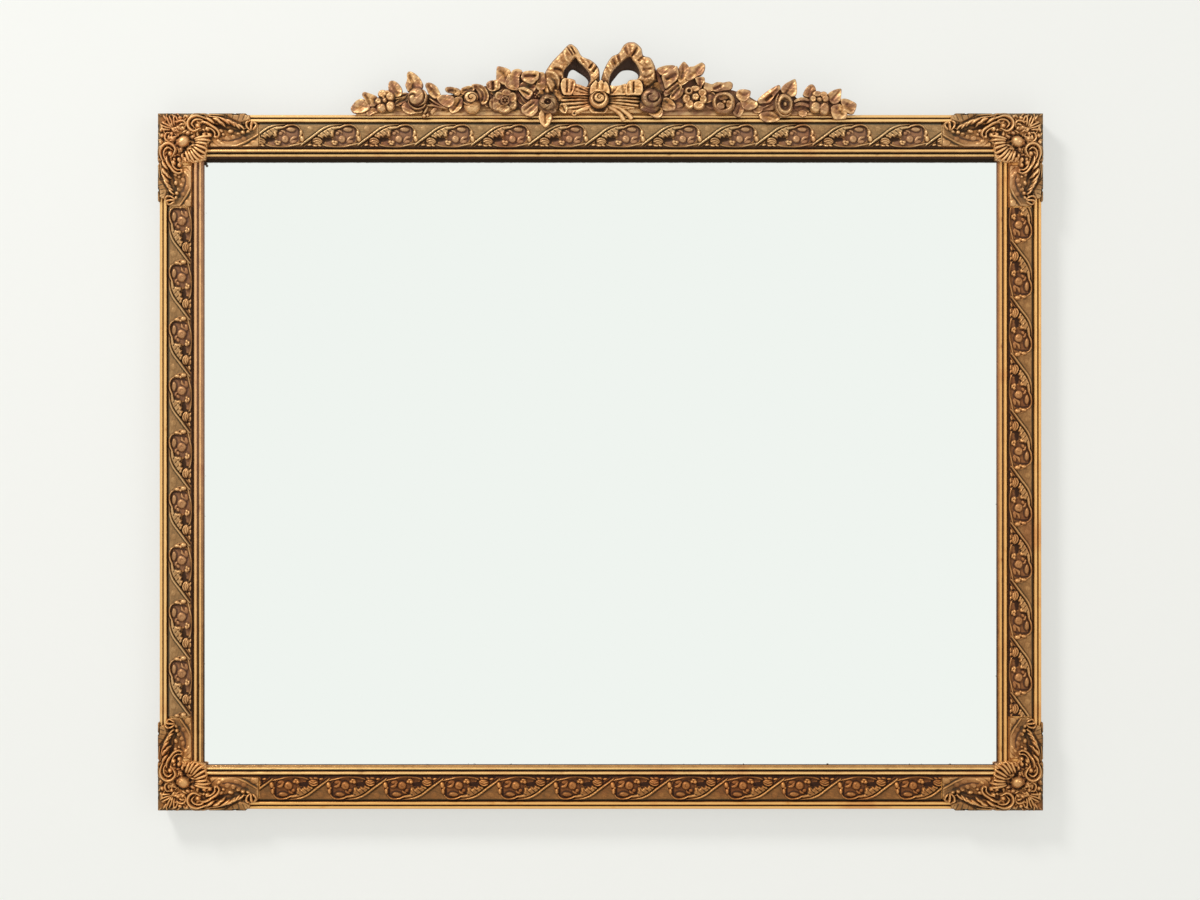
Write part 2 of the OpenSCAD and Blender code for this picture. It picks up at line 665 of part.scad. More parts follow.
// D-shaped wire ring: a bar through the eye, two legs and a round end.
module hanger_ring(x) {
    half = ring_w / 2;
    color(iron) on_hanger(x) translate([0, 0, eye_r]) {
        rotate([0, 90, 0]) cylinder(r = ring_r, h = ring_w - 2 * ring_bend, center = true);
        for (s = [-1, 1]) {
            translate([s * (half - ring_bend), ring_bend, 0]) rotate([0, 0, s > 0 ? -90 : 180])
                rotate_extrude(angle = 90) translate([ring_bend, 0]) circle(ring_r);
            translate([s * half, ring_bend, 0]) rotate([-90, 0, 0]) cylinder(r = ring_r, h = ring_leg);
        }
        translate([0, ring_bend + ring_leg, 0]) rotate_extrude(angle = 180)
            translate([half, 0]) circle(ring_r);
    }
}

// Round-headed screws through a strap into the rail.
module hanger_screw_set(x, grow) {
    for (y = strap_holes) on_hanger(x) translate([0, y, 0]) {
        translate([0, 0, -12 - grow]) cylinder(r = screw_r + grow, h = 12 + grow + strap_t, $fn = 24);
        if (grow == 0) translate([0, 0, strap_t]) cylinder(r1 = 3.4, r2 = 2.2, h = 1.6, $fn = 24);
    }
}

// ---- nodes ----

rail(0);  // top_rail
rail(1);  // left_rail
rail(2);  // bottom_rail
rail(3);  // right_rail
frieze(0);  // top_frieze
frieze(1);  // left_frieze
frieze(2);  // bottom_frieze
frieze(3);  // right_frieze
corner(-1, 1);  // corner_top_left
corner(-1, -1);  // corner_bottom_left
corner(1, -1);  // corner_bottom_right
corner(1, 1);  // corner_top_right
crest_plinth();
color(brass) crest_screw_set(0);  // crest_screws
spray_left();
spray_right();
bow_base();
bow_loop(left_loop, left_hole);  // bow_loop_left
bow_loop(right_loop, right_hole);  // bow_loop_right
bow_knot();
crest_flower(blossom_left_at);  // blossom_left
crest_flower(rosebud_left_at);  // rosebud_left
crest_flower(cupped_rose_left_at);  // cupped_rose_left
crest_flower(open_rose_left_at);  // open_rose_left
crest_flower(inner_rose_left_at);  // inner_rose_left
crest_flower(inner_rose_right_at);  // inner_rose_right
crest_flower(open_rose_right_at);  // open_rose_right
crest_flower(cupped_rose_right_at);  // cupped_rose_right
crest_flower(rosebud_right_at);  // rosebud_right
crest_flower(blossom_right_at);  // blossom_right
mirror_glass();
glass_packers();
backboard();
sprig_set();  // sprigs
color(iron) mitre_nail_set(0);  // mitre_nails
hanger_strap(-1);  // hanger_strap_left
hanger_ring(-1);  // hanger_ring_left
color(brass) hanger_screw_set(-1, 0);  // hanger_screws_left
hanger_strap(1);  // hanger_strap_right
hanger_ring(1);  // hanger_ring_right
color(brass) hanger_screw_set(1, 0);  // hanger_screws_right
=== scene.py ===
"""Gilt overmantel mirror: the carved-looking ornament, finishes and stage, built round the CAD frame.

All shapes are worked out in millimetres on the plane of the mirror, as x to the right, h up and
d off the wall towards the room, and are turned to the row frame as (x, -d, h) in metres.
"""

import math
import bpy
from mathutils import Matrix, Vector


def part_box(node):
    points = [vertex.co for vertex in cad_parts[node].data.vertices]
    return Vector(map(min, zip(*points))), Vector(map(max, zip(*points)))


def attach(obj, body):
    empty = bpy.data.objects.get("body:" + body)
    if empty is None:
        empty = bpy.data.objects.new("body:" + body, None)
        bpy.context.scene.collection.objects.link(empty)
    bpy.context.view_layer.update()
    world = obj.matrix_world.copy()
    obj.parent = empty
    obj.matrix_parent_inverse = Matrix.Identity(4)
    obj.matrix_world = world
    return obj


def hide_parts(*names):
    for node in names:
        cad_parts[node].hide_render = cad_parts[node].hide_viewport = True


bl_info = {
    "name": "Gilt Overmantel Mirror",
    "version": (1, 0, 0),
    "blender": (4, 5, 0),
    "location": "View3D > Sidebar > Mirror",
    "description": "Builds the ornament, finishes and stage of a gilt-framed overmantel mirror",
    "category": "Object",
}

import bpy
import numpy as np
from bpy.props import FloatProperty, FloatVectorProperty, IntProperty, PointerProperty
from bpy.types import Operator, Panel, PropertyGroup

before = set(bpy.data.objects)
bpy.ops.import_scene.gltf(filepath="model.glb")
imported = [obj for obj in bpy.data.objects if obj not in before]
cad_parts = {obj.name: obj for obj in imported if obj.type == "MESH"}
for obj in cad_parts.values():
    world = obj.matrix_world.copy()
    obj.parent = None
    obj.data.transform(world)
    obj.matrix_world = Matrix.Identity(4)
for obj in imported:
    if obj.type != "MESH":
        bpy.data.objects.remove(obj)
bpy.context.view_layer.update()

MM = 0.001
BODY = "mirror"

# ---- sizes read from the CAD nodes, in millimetres ----


def node_box(name):
    """Lowest and highest corner of a CAD node as (x, depth off the wall, height), in millimetres."""
    lo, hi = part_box(name)
    return np.array([lo.x, -hi.y, lo.z]) / MM, np.array([hi.x, -lo.y, hi.z]) / MM


TOP_LO, TOP_HI = node_box("top_rail")
FRAME_W = TOP_HI[0] - TOP_LO[0]
FRAME_TOP = TOP_HI[2]
FRAME_H = FRAME_TOP - node_box("bottom_rail")[0][2]
CREST_TOP = node_box("bow_loop_right")[1][2] - 0.1
CENTRE_H = FRAME_TOP - FRAME_H / 2
RAIL_W = TOP_HI[2] - TOP_LO[2]
LEDGE_D = node_box("mirror_glass")[1][1]

# moulding section, measured inwards from the outer edge: middle, middle depth and radius of each bead
BEADS = ((1.9, 18.2, 1.9), (6.3, 20.0, 2.0), (37.6, 19.9, 1.9), (41.7, 17.9, 1.7))
QUIRK_D, LOW_QUIRK_D = 18.6, 17.4
FIELD_U, FIELD_W, FIELD_D = 9.4, 25.2, 19.4
LIP_D = 14.6
REBATE_U = 36.4
# depth over which the section of a rail counts as its gilt front
FRONT_D = LEDGE_D + 0.5
# backs of the crest's pieces: sprays, what hangs over the beads, flowers; and how far forward any may come
SPRAY_D, SEAT_D, FLOWER_D, CREST_LIMIT_D = 19.0, 22.1, 25.1, 34.5
# corner ornaments: length of each arm from the outer corner, and room between an arm and its frieze
ARM_LONG, ARM_SHORT = 104.0, 96.0
FRIEZE_GAP = 0.3
# ground of the friezes, plate of the corners, and how far that plate sinks over the field
FRIEZE_D, PLATE_D, PLATE_SINK = 20.7, 22.9, 2.1


# ---- properties ----


class MirrorSizes(PropertyGroup):
    bead_wobble: FloatProperty(
        name="Bead wobble", description="How far the hand-run beads wander from straight",
        default=0.00012, unit="LENGTH")
    frieze_relief: FloatProperty(
        name="Frieze relief", description="Height of the stems and leaves of the frieze over its ground",
        default=0.0044, unit="LENGTH")
    repeats_long: IntProperty(
        name="Repeats, long rails", description="Repeats of the frieze pattern on the top and bottom rails",
        default=12)
    repeats_short: IntProperty(
        name="Repeats, side rails", description="Repeats of the frieze pattern on the side rails",
        default=9)
    corner_relief: FloatProperty(
        name="Corner relief", description="Height of the corner scrolls and shells over their plate",
        default=0.0070, unit="LENGTH")


class MirrorColours(PropertyGroup):
    burnished: FloatVectorProperty(
        name="Burnished gold", description="Colour of rubbed high spots",
        subtype="COLOR", size=3, default=(0.88, 0.60, 0.31))
    toned: FloatVectorProperty(
        name="Toned gold", description="Colour of the gilding under its brown glaze",
        subtype="COLOR", size=3, default=(0.385, 0.188, 0.066))
    glaze: FloatVectorProperty(
        name="Umber glaze", description="Colour of the dark glaze left in the hollows",
        subtype="COLOR", size=3, default=(0.045, 0.019, 0.006))


# ---- mesh helpers ----


def to_row(points):
    """(x, h, d) in millimetres to the row frame in metres: x stays, depth becomes -Y, height becomes Z."""
    return np.stack([points[:, 0], -points[:, 2], points[:, 1]], 1) * MM


def smoothstep(x):
    x = np.clip(x, 0.0, 1.0)
    return x * x * (3 - 2 * x)


def bell(x):
    return np.exp(-x * x)


def signed_volume(points, quads):
    """Sum of the signed tetrahedra from the middle to each triangle, positive when faces point out. Each quad
    is two triangles, and one whose last two corners are the same adds nothing by its second."""
    centre = points.mean(0)
    total = 0.0
    for corners in ([0, 1, 2], [0, 2, 3]):
        a, b, c = (points[quads[:, k]] - centre for k in corners)
        total += np.einsum("ij,ij->i", a, np.cross(b, c)).sum() / 6
    return total


def outward(points, quads):
    """The quads wound so that they face out of the solid."""
    return quads if signed_volume(points, quads) > 0 else quads[:, [1, 0, 3, 2]]


def closed_loft(rings):
    """Solid through closed rings of points: neighbours are joined by quads and each end ring by a fan to
    its mean point. A fan triangle is a quad with its last corner repeated."""
    m, n = rings.shape[:2]
    points = np.concatenate([rings.reshape(-1, 3), rings[0].mean(0)[None], rings[-1].mean(0)[None]])
    j = np.arange(n)
    nxt = (j + 1) % n
    i = np.arange(m - 1)[:, None]
    a, b = i * n + j, i * n + nxt
    body = np.stack([a, b, b + n, a + n], -1).reshape(-1, 4)
    low, high = m * n, m * n + 1
    start = np.stack([nxt, j, np.full(n, low), np.full(n, low)], 1)
    last = (m - 1) * n
    end = np.stack([last + j, last + nxt, np.full(n, high), np.full(n, high)], 1)
    quads = np.concatenate([body, start, end])
    return points, outward(points, quads)


def closed_hoop(rings):
    """Solid ring of closed sections: as closed_loft, with the last section joined to the first."""
    m, n = rings.shape[:2]
    i, j = np.arange(m)[:, None], np.arange(n)
    up, nxt = (i + 1) % m, (j + 1) % n
    quads = np.stack([i * n + j, i * n + nxt, up * n + nxt, up * n + j], -1).reshape(-1, 4)
    points = rings.reshape(-1, 3)
    return points, outward(points, quads)


def merged(parts):
    """Joins (points, quads) pairs into one pair."""
    points, quads, base = [], [], 0
    for p, q in parts:
        points.append(p)
        quads.append(q + base)
        base += len(p)
    return np.concatenate(points), np.concatenate(quads)


def make_piece(name, points, quads, materials, replaces, attributes, face_material=None):
    """One object from points in millimetres and quads, riding on the mirror, with point attributes."""
    tri = quads[:, 2] == quads[:, 3]
    order = np.concatenate([np.flatnonzero(~tri), np.flatnonzero(tri)])
    four, three = quads[~tri], quads[tri][:, :3]
    loops = np.concatenate([four.ravel(), three.ravel()]).astype(np.int32)
    sizes = np.repeat([4, 3], [len(four), len(three)]).astype(np.int32)
    starts = np.concatenate([[0], np.cumsum(sizes)[:-1]]).astype(np.int32)
    mesh = bpy.data.meshes.new(name)
    mesh.vertices.add(len(points))
    mesh.vertices.foreach_set("co", to_row(points).astype(np.float32).ravel())
    mesh.loops.add(len(loops))
    mesh.loops.foreach_set("vertex_index", loops)
    mesh.polygons.add(len(sizes))
    mesh.polygons.foreach_set("loop_start", starts)
    mesh.polygons.foreach_set("loop_total", sizes)
    mesh.polygons.foreach_set("use_smooth", np.ones(len(sizes), bool))
    if face_material is not None:
        mesh.polygons.foreach_set("material_index", face_material[order].astype(np.int32))
    mesh.update(calc_edges=True)
    if mesh.validate():
        raise RuntimeError(f"{name} had faces that Blender took out")
    for key, values in attributes.items():
        layer = mesh.attributes.new(key, "FLOAT", "POINT")
        layer.data.foreach_set("value", np.asarray(values, np.float32))
    for material in materials:
        mesh.materials.append(material)
    obj = bpy.data.objects.new(name, mesh)
    bpy.context.scene.collection.objects.link(obj)
    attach(obj, BODY)
    if replaces:
        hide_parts(*replaces)


def blurred(grid, sigma):
    """Gaussian blur of a grid, as a product of its Fourier transform with a Gaussian, edges mirrored."""
    pad = int(3 * sigma) + 2
    g = np.pad(grid, pad, mode="edge")
    fy = np.fft.fftfreq(g.shape[0])[:, None]
    fx = np.fft.rfftfreq(g.shape[1])[None]
    spectrum = np.fft.rfft2(g) * np.exp(-2 * (np.pi * sigma) ** 2 * (fx**2 + fy**2))
    return np.fft.irfft2(spectrum, g.shape)[pad:-pad, pad:-pad]


def grown(grid):
    """Each cell takes the highest of itself and its four neighbours."""
    g = np.pad(grid, 1, mode="edge")
    return np.max([g[1:-1, 1:-1], g[:-2, 1:-1], g[2:, 1:-1], g[1:-1, :-2], g[1:-1, 2:]], 0)


def relief_of(height, cell, base, gain):
    """How far a point stands over its surroundings, 0 in a hollow and 1 on a ridge: the base plus gain times
    the height over the mean within 1.1 mm, and a third of that over the mean within 3.6 mm. The colour
    follows it: glaze and painted shade in the hollows, rubbed gold and painted highlight on the ridges."""
    near, far = height - blurred(height, 1.1 / cell), height - blurred(height, 3.6 / cell)
    return np.clip(base + gain * (near + far / 3), 0.03, 0.86)


# the map of the crest, in millimetres: its cell, its half length, how far it goes below and over the
# frame's top, and the depth it starts from over the rail's top and in front of the rail
CREST_CELL = 0.5
CREST_X, CREST_LOW, CREST_HIGH = 275.0, -20.0, 82.0
BARE_D, RAIL_D = 16.0, 20.5


class CrestMap:
    """Map of the frontmost depth of the crest, from which each piece reads how exposed it lies, which its
    colour shows as painted shade in hollows and painted highlight where it stands out.
    """

    def __init__(self):
        rows = np.arange(CREST_LOW, CREST_HIGH + CREST_CELL / 2, CREST_CELL)
        self.depth = np.full((len(rows), int(2 * CREST_X / CREST_CELL) + 1), BARE_D)
        self.depth[rows < 0] = RAIL_D

    def cells(self, points):
        place = np.stack([points[:, 1] - FRAME_TOP - CREST_LOW, points[:, 0] + CREST_X])
        last = np.array(self.depth.shape)[:, None] - 1
        return tuple(np.clip(np.rint(place / CREST_CELL).astype(int), 0, last))

    def add(self, points):
        np.maximum.at(self.depth, self.cells(points), points[:, 2])

    def finish(self):
        """The mean depth within 1.25, 4.5 and 11 mm, and the share of the ground that the crest covers."""
        shown = grown(self.depth)
        self.near, self.far, self.wide = (blurred(shown, reach / CREST_CELL) for reach in (1.25, 4.5, 11))
        self.cover = blurred((shown > BARE_D + 0.5).astype(float), 1.7 / CREST_CELL)

    def relief(self, points):
        """How exposed each point lies, by its depth over the three means, and how near it is to the rim; low
        values paint shade into hollows and along the crest's outline, high ones paint highlight.
        """
        at = self.cells(points)
        near, far, wide = (
            np.clip(points[:, 2] - mean[at], -9, top)
            for mean, top in ((self.near, 1.4), (self.far, 3.5), (self.wide, 3.5)))
        far, wide = (np.where(v < 0, 2.2 * v, v) for v in (far, wide))
        rim = smoothstep((0.93 - self.cover[at]) / 0.45)
        return np.clip(0.55 + 0.38 * near + 0.03 * far + 0.018 * wide - 0.78 * rim, 0.02, 0.92), rim


# ---- curves ----


def as_points(run):
    """A flat run x, y, x, y and so on, or rows of points, as an array of points."""
    return np.reshape(np.asarray(run, float), (-1, 2))


def spline(points, count):
    """Catmull-Rom curve through points, evenly spread in parameter: each piece is the cubic whose slopes
    at its ends are half the chord between their neighbours."""
    p = as_points(points)
    p = np.concatenate([2 * p[:1] - p[1:2], p, 2 * p[-1:] - p[-2:-1]])
    t = np.linspace(0, len(p) - 3, count)
    k = np.minimum(t.astype(int), len(p) - 4)
    f = (t - k)[:, None]
    a, b, c, d = p[k], p[k + 1], p[k + 2], p[k + 3]
    return 0.5 * (2 * b + (c - a) * f + (2 * a - 5 * b + 4 * c - d) * f**2 + (3 * b - a - 3 * c + d) * f**3)


def ring_spline(points, count):
    """Closed Catmull-Rom curve through points, evenly spread along its length."""
    p = as_points(points)
    p = np.concatenate([p[-2:], p, p[:3]])
    dense = spline(p, 60 * len(p))
    step = np.linalg.norm(np.diff(dense, axis=0), axis=1)
    away = np.linalg.norm(dense - p[2], axis=1)
    half = len(dense) // 2
    first, back = np.argmin(away[:half]), half + np.argmin(away[half:])
    part = dense[first : back + 1]
    run = np.concatenate([[0], np.cumsum(step[first:back])])
    s = np.linspace(0, run[-1], count, endpoint=False)
    return np.stack([np.interp(s, run, part[:, k]) for k in range(2)], 1)


def polyline_distance(x, y, line):
    """Distance from each grid point to a line of points, and the share of the line's length at the foot."""
    seg = np.diff(line, axis=0)
    length = np.linalg.norm(seg, axis=1)
    run = np.concatenate([[0], np.cumsum(length)])
    best = np.full(x.shape, 1e9)
    share = np.zeros(x.shape)
    for k, (sx, sy) in enumerate(seg):
        dx, dy = x - line[k, 0], y - line[k, 1]
        t = np.clip((dx * sx + dy * sy) / max(length[k] ** 2, 1e-9), 0, 1)
        dist = np.hypot(dx - t * sx, dy - t * sy)
        near = dist < best
        best = np.where(near, dist, best)
        share = np.where(near, (run[k] + t * length[k]) / run[-1], share)
    return best, share


def smooth_line(points, density):
    """The curve through points, with density points for each of them; two points stay a straight line."""
    points = as_points(points)
    return spline(points, density * len(points)) if len(points) > 2 else points


# ---- relief painted as strokes on a grid ----


def stroke(x, y, points, width, height):
    """Height of a modelled ridge along a curve: half an ellipse across, narrowed and lowered to both ends."""
    line = smooth_line(points, 6)
    low, high = line.min(0) - width, line.max(0) + width
    near = (x > low[0]) & (x < high[0]) & (y > low[1]) & (y < high[1])
    out = np.full(x.shape, -1.0)
    if near.any():
        dist, share = polyline_distance(x[near], y[near], line)
        start, end = np.clip(share / 0.35, 0, 1), np.clip((share - 0.55) / 0.45, 0, 1)
        k = 1 - 0.55 * (1 - start) ** 2 - 0.65 * end**2
        q = dist / (width * k)
        body = np.sqrt(np.clip(1 - q * q, 0, 1)) * (0.55 + 0.45 * k)
        out[near] = np.where(q < 1, body * height, -1.0)
    return out


def dome(x, y, centre, rx, ry, turn, height):
    """Height of a rounded lump: the root of (1 - r squared), on an ellipse turned by an angle in degrees."""
    c, s = math.cos(math.radians(turn)), math.sin(math.radians(turn))
    dx, dy = x - centre[0], y - centre[1]
    u, v = (dx * c + dy * s) / rx, (dy * c - dx * s) / ry
    r2 = u * u + v * v
    return np.where(r2 < 1, height * np.clip(1 - r2, 0, 1) ** 0.5, -1.0)


def swell(x, y, outline, height, edge):
    """Height of a flat mass with rounded sides: a quarter ellipse that rises from the outline inwards."""
    inside = np.clip(polygon_distance(x, y, outline) / edge, 0, 1)
    return np.where(inside > 0, height * np.sqrt(1 - (1 - inside) ** 2), -1.0)


def polygon_distance(x, y, ring):
    """Signed distance to a closed outline, positive inside: the distance to its nearest side, with the sign
    from how often a ray to the right crosses the outline."""
    ring = as_points(ring)
    closed = np.concatenate([ring, ring[:1]])
    dist, _ = polyline_distance(x, y, closed)
    inside = np.zeros(x.shape, bool)
    for (x0, y0), (x1, y1) in zip(closed[:-1], closed[1:]):
        if y0 != y1:
            cross = ((y0 > y) != (y1 > y)) & (x < (x1 - x0) * (y - y0) / (y1 - y0) + x0)
            inside ^= cross
    return np.where(inside, dist, -dist)


class Relief:
    """Modelled ground: masses laid on one another, of which the highest shows, with its own tints, and
    grooves cut into them, darkened with glaze and painted shade."""

    def __init__(self, x, y, full):
        self.x, self.y, self.full = x, y, full
        self.height, self.patina, self.rose, self.dark = (np.zeros(x.shape) for _ in range(4))

    def put(self, layer, patina=0.0, rose=0.0):
        over = (layer > 0) & (layer > self.height)
        self.height[over] = layer[over]
        self.patina[over], self.rose[over] = patina, rose
        self.dark[over] *= 0.25

    def masses(self, rows):
        """Rows of outline, share of the full height, width of the rounded side, patina and rose."""
        for outline, share, edge, *tints in rows:
            self.put(swell(self.x, self.y, outline, share * self.full, edge), *tints)

    def strokes(self, rows):
        """Rows of points, half width, share, patina and rose."""
        for points, width, share, *tints in rows:
            self.put(stroke(self.x, self.y, points, width, share * self.full), *tints)

    def domes(self, rows):
        """Rows of middle, half sizes, turn, share, patina and rose."""
        for cx, cy, rx, ry, turn, share, *tints in rows:
            self.put(dome(self.x, self.y, (cx, cy), rx, ry, turn, share * self.full), *tints)

    def cuts(self, rows):
        """Rows of points, half width, depth in millimetres and darkness of a groove along them."""
        for points, width, depth, dark in rows:
            dist, _ = polyline_distance(self.x, self.y, smooth_line(points, 5))
            mask = smoothstep(1.35 - dist / width)
            self.height -= depth * mask
            self.dark = np.maximum(self.dark, dark * mask)


# ---- rails ----

SIDES = ("top", "left", "bottom", "right")
# how brown and orange each side is tinted, as toning and painted shade: most on the bottom, away from the
# light
RAIL_AGE_AND_SHADE = (0.0, 0.25, 0.85, 0.6)
# how much glaze and painted shade each side holds in its hollows, and painted shade on its sight lip
RAIL_GRIME_AND_SHADE = (1.25, 0.95, 1.2, 0.45)
LIP_SHADE = (0.95, 0.25, 0.0, 0.35)
# bole that shows on each side: amount and where it starts, inwards in millimetres
RAIL_BOLE = ((0, 45), (0.75, 35.5), (0, 45), (0.45, 39.6))
# glaze and painted shade in the quirks of the moulding: inward place and reach in millimetres, and amount
QUIRK_GLAZE_AND_SHADE = ((4.1, 0.9, 0.8), (9.1, 1.6, 1), (35, 1.5, 1), (39.75, 1.6, 1), (44, 1.1, 0.8))
# painted highlight on each bead's crown, for each side, from the outermost bead inwards
BEAD_HIGHLIGHT = (
    (0.35, 0.75, 0.45, 0.55), (0.45, 0.60, 0.20, 0.40), (0.70, 0.60, 0.95, 0.85), (0.35, 0.40, 0.25, 0.40),
)


def side_length(side):
    return FRAME_W if side % 2 == 0 else FRAME_H


def on_side(side, x, u, d):
    """Points of a side of the frame, x along the rail and u inwards from its outer edge, to (x, h, d)."""
    half = (FRAME_H if side % 2 == 0 else FRAME_W) / 2
    y = half - u
    c, s = ((1, 0), (0, 1), (-1, 0), (0, -1))[side]
    return np.stack([x * c - y * s, x * s + y * c + CENTRE_H, np.broadcast_to(d, x.shape)], -1)


def moulding_profile():
    """Section of the moulding as inward distance, depth and zone (0 gilt front, 1 toned edge, 2 bare wood):
    straight runs and half circles, sampled every third of a millimetre at the front and then eased by a
    short running mean, because gesso fills sharp corners."""
    arcs = [
        [(u + r * math.cos(t), d + r * math.sin(t)) for t in np.linspace(math.pi, 0, 24)]
        for u, d, r in BEADS]
    front = np.array([
        (0.0, 12.0), *arcs[0], (3.8, LOW_QUIRK_D), (4.3, LOW_QUIRK_D), *arcs[1], (8.3, QUIRK_D),
        (FIELD_U, QUIRK_D), (FIELD_U, FIELD_D), (FIELD_U + FIELD_W, FIELD_D), (FIELD_U + FIELD_W, QUIRK_D),
        (35.7, QUIRK_D), *arcs[2], (39.5, LOW_QUIRK_D), (40.0, LOW_QUIRK_D), *arcs[3],
        (44.1, 17.2), (RAIL_W, LIP_D), (RAIL_W, LEDGE_D)])
    run = np.concatenate([[0], np.cumsum(np.linalg.norm(np.diff(front, axis=0), axis=1))])
    s = np.linspace(0, run[-1], int(run[-1] / 0.33))
    line = np.stack([np.interp(s, run, front[:, k]) for k in range(2)], 1)
    eased = line.copy()
    for _ in range(2):
        eased[1:-1] = (eased[:-2] + 2 * eased[1:-1] + eased[2:]) / 4
    # under the frieze one point in twelve is enough
    hidden = (eased[:, 0] > FIELD_U + 1.5) & (eased[:, 0] < FIELD_U + FIELD_W - 1.5)
    eased = eased[~hidden | (np.arange(len(eased)) % 12 == 0)]
    back = np.array([
        (REBATE_U, LEDGE_D), (REBATE_U, 6), (REBATE_U, 0), (24, 0), (12, 0), (0, 0), (0, 6)])
    u = np.concatenate([eased[:, 0], back[:, 0]])
    d = np.concatenate([eased[:, 1], back[:, 1]])
    zone = np.concatenate([np.zeros(len(eased)), np.full(len(back) - 1, 2), [1]])
    return u, d, zone


def profile_relief(u, d):
    """How far each point of the section stands over its neighbours within 2.5 mm along the section: the
    colour turns it into glaze and painted shade down the bead sides, burnish and painted highlight on their
    crowns.
    """
    w = bell((u[:, None] - u[None]) / 2.2)
    mean = (w * d[None]).sum(1) / w.sum(1)
    return np.clip(0.36 + 0.42 * (d - mean), 0, 1)


def wander(x, seed, length):
    """Slow random waviness within -1 to 1: a sum of five sines of seeded phase, the first one length long."""
    rng = np.random.default_rng(seed)
    total = np.zeros_like(x)
    for k in range(5):
        total += np.sin(2 * np.pi * x / length * (1 + 0.73 * k) + rng.uniform(0, 6.3)) / (1 + 0.6 * k)
    return total / 2.4


def build_rail(side, sizes, materials):
    """One mitred length: the section swept along the side, its beads wavering and dented, closed at each
    mitre by a fan to a point inside the section."""
    u, d, zone = moulding_profile()
    n = len(u)
    count = 240 if side % 2 == 0 else 200
    half = side_length(side) / 2
    x = np.linspace(-1, 1, count)[:, None] * (half - u[None])
    uu = np.broadcast_to(u, (count, n))
    depth = np.broadcast_to(d, (count, n)).copy()
    front = (zone == 0) & (d > FRONT_D)
    wobble = sizes.bead_wobble / MM * wander(x + 37 * np.round(u / 4.5), 11 + side, 46)
    depth += np.where(front, wobble, 0)
    rng = np.random.default_rng(50 + side)
    dents = np.zeros((count, n))
    for _ in range(26):
        at, across = rng.uniform(-half + 60, half - 60), rng.choice([u for u, _, _ in BEADS])
        size, deep = rng.uniform(0.6, 1.5), rng.uniform(0.15, 0.5)
        dents += deep * np.exp(-((x - at) ** 2) / (1.6 * size) ** 2 - (uu - across) ** 2 / size**2)
    depth -= np.where(front, dents, 0)
    points = on_side(side, x, uu, depth).reshape(-1, 3)
    i, j = np.arange(count - 1)[:, None], np.arange(n)
    nxt = (j + 1) % n
    body = np.stack([i * n + j, (i + 1) * n + j, (i + 1) * n + nxt, i * n + nxt], -1).reshape(-1, 4)
    last = (count - 1) * n
    hubs = [points[:n].mean(0), points[last:].mean(0)]
    first_hub, last_hub = np.full(n, count * n), np.full(n, count * n + 1)
    start = np.stack([j, nxt, first_hub, first_hub], 1)
    end = np.stack([last + nxt, last + j, last_hub, last_hub], 1)
    points = np.concatenate([points, hubs])
    quads = outward(points, np.concatenate([body, start, end]))
    # glaze and painted shade in the quirks, painted shade on the sight lip, painted highlight on the bead
    # crowns
    grime_and_shade, crown_highlight = np.zeros(n), np.zeros(n)
    for at, reach, amount in QUIRK_GLAZE_AND_SHADE:
        grime_and_shade = np.maximum(grime_and_shade, RAIL_GRIME_AND_SHADE[side] * amount * bell((u - at) / reach) * (d > FRONT_D))
    # painted highlight along the bead crowns, brightest on the bottom rail, which faces up to the light
    for (at, _, _), amount in zip(BEADS, BEAD_HIGHLIGHT[side]):
        crown_highlight = np.maximum(crown_highlight, amount * bell((u - at) / 0.75) * (d > FRONT_D))
    # painted shade on the sight lip, most on the top rail, whose lip faces down
    grime_and_shade[(u > 43.6) & (d < 17.4)] = LIP_SHADE[side]
    worn_and_shaded = np.clip(profile_relief(u, d) - 0.75 * grime_and_shade - 0.5 * dents, 0, 1)
    amount, starts = RAIL_BOLE[side]
    bole = amount * ((u > starts) & (u < 45.6))
    # the bole shows less and less towards the foot of each stile
    upper = smoothstep((points[: count * n, 1] - CENTRE_H + 240) / 300)
    # the inner beads of the bottom rail are less brown, as painted light where they face up
    age_and_shade = RAIL_AGE_AND_SHADE[side] * np.where((u > FIELD_U + FIELD_W) & (side == 2), 0.3, 1)
    make_piece(
        f"moulding_{SIDES[side]}", points, quads, [materials["moulding"], materials["pine"]],
        [f"{SIDES[side]}_rail"], {
            "relief": np.append(worn_and_shaded, [0.2, 0.2]), "rose": np.append(np.tile(bole, count) * upper, [0, 0]),
            "age_and_shade": np.append(np.tile(age_and_shade, count), [0, 0]),
            "crown_highlight": np.append(np.clip(crown_highlight - dents, 0, 1), [0, 0])},
        np.append(np.tile(zone == 2, count - 1), np.ones(2 * n)))


# ---- frieze ----

# One repeat 60 mm long, x from where the stem crosses the middle of the field, y up to the outer edge.
FRIEZE_GROUND = (
    -13.4, -6.4, -8, -3.4, 0, 2.2, 6, 6.4, 12, 9.4, 20, 11.8, 20, 13, -26, 13, -19.5, 11.2, -15.4, 7.6,
    -12.6, 2, -12.2, -3,
)
FRIEZE_OVAL = (
    8.4, -8.6, 12, -5.2, 18.4, -3.2, 20.4, 1, 21.4, 5.6, 28, 8.6, 34, 10.2, 39, 10.2, 42.8, 7.8, 44.2, 2,
    44.4, -4, 41.5, -7.8, 34, -10, 24, -11, 14, -10.4,
)
FRIEZE_LEAF = (
    2.4, 0.6, 8, 4.8, 13, 7.4, 18, 9.4, 25, 10.2, 30, 9.2, 26.4, 7.2, 21.4, 6.4, 20.6, 3.6, 19.4, -0.6,
    17.4, -1.4, 15.4, 0.6, 12.4, -1.6, 10, -0.8, 8.4, -3, 6, -2, 3.6, -1.6,
)
FRIEZE_STEM = (-14.4, -9.8, -9, -5.6, -3.2, -1.6, 2, 2.2, 5.5, 4.9, 10, 7.8, 15.5, 10, 22, 11.3, 29, 11.8)
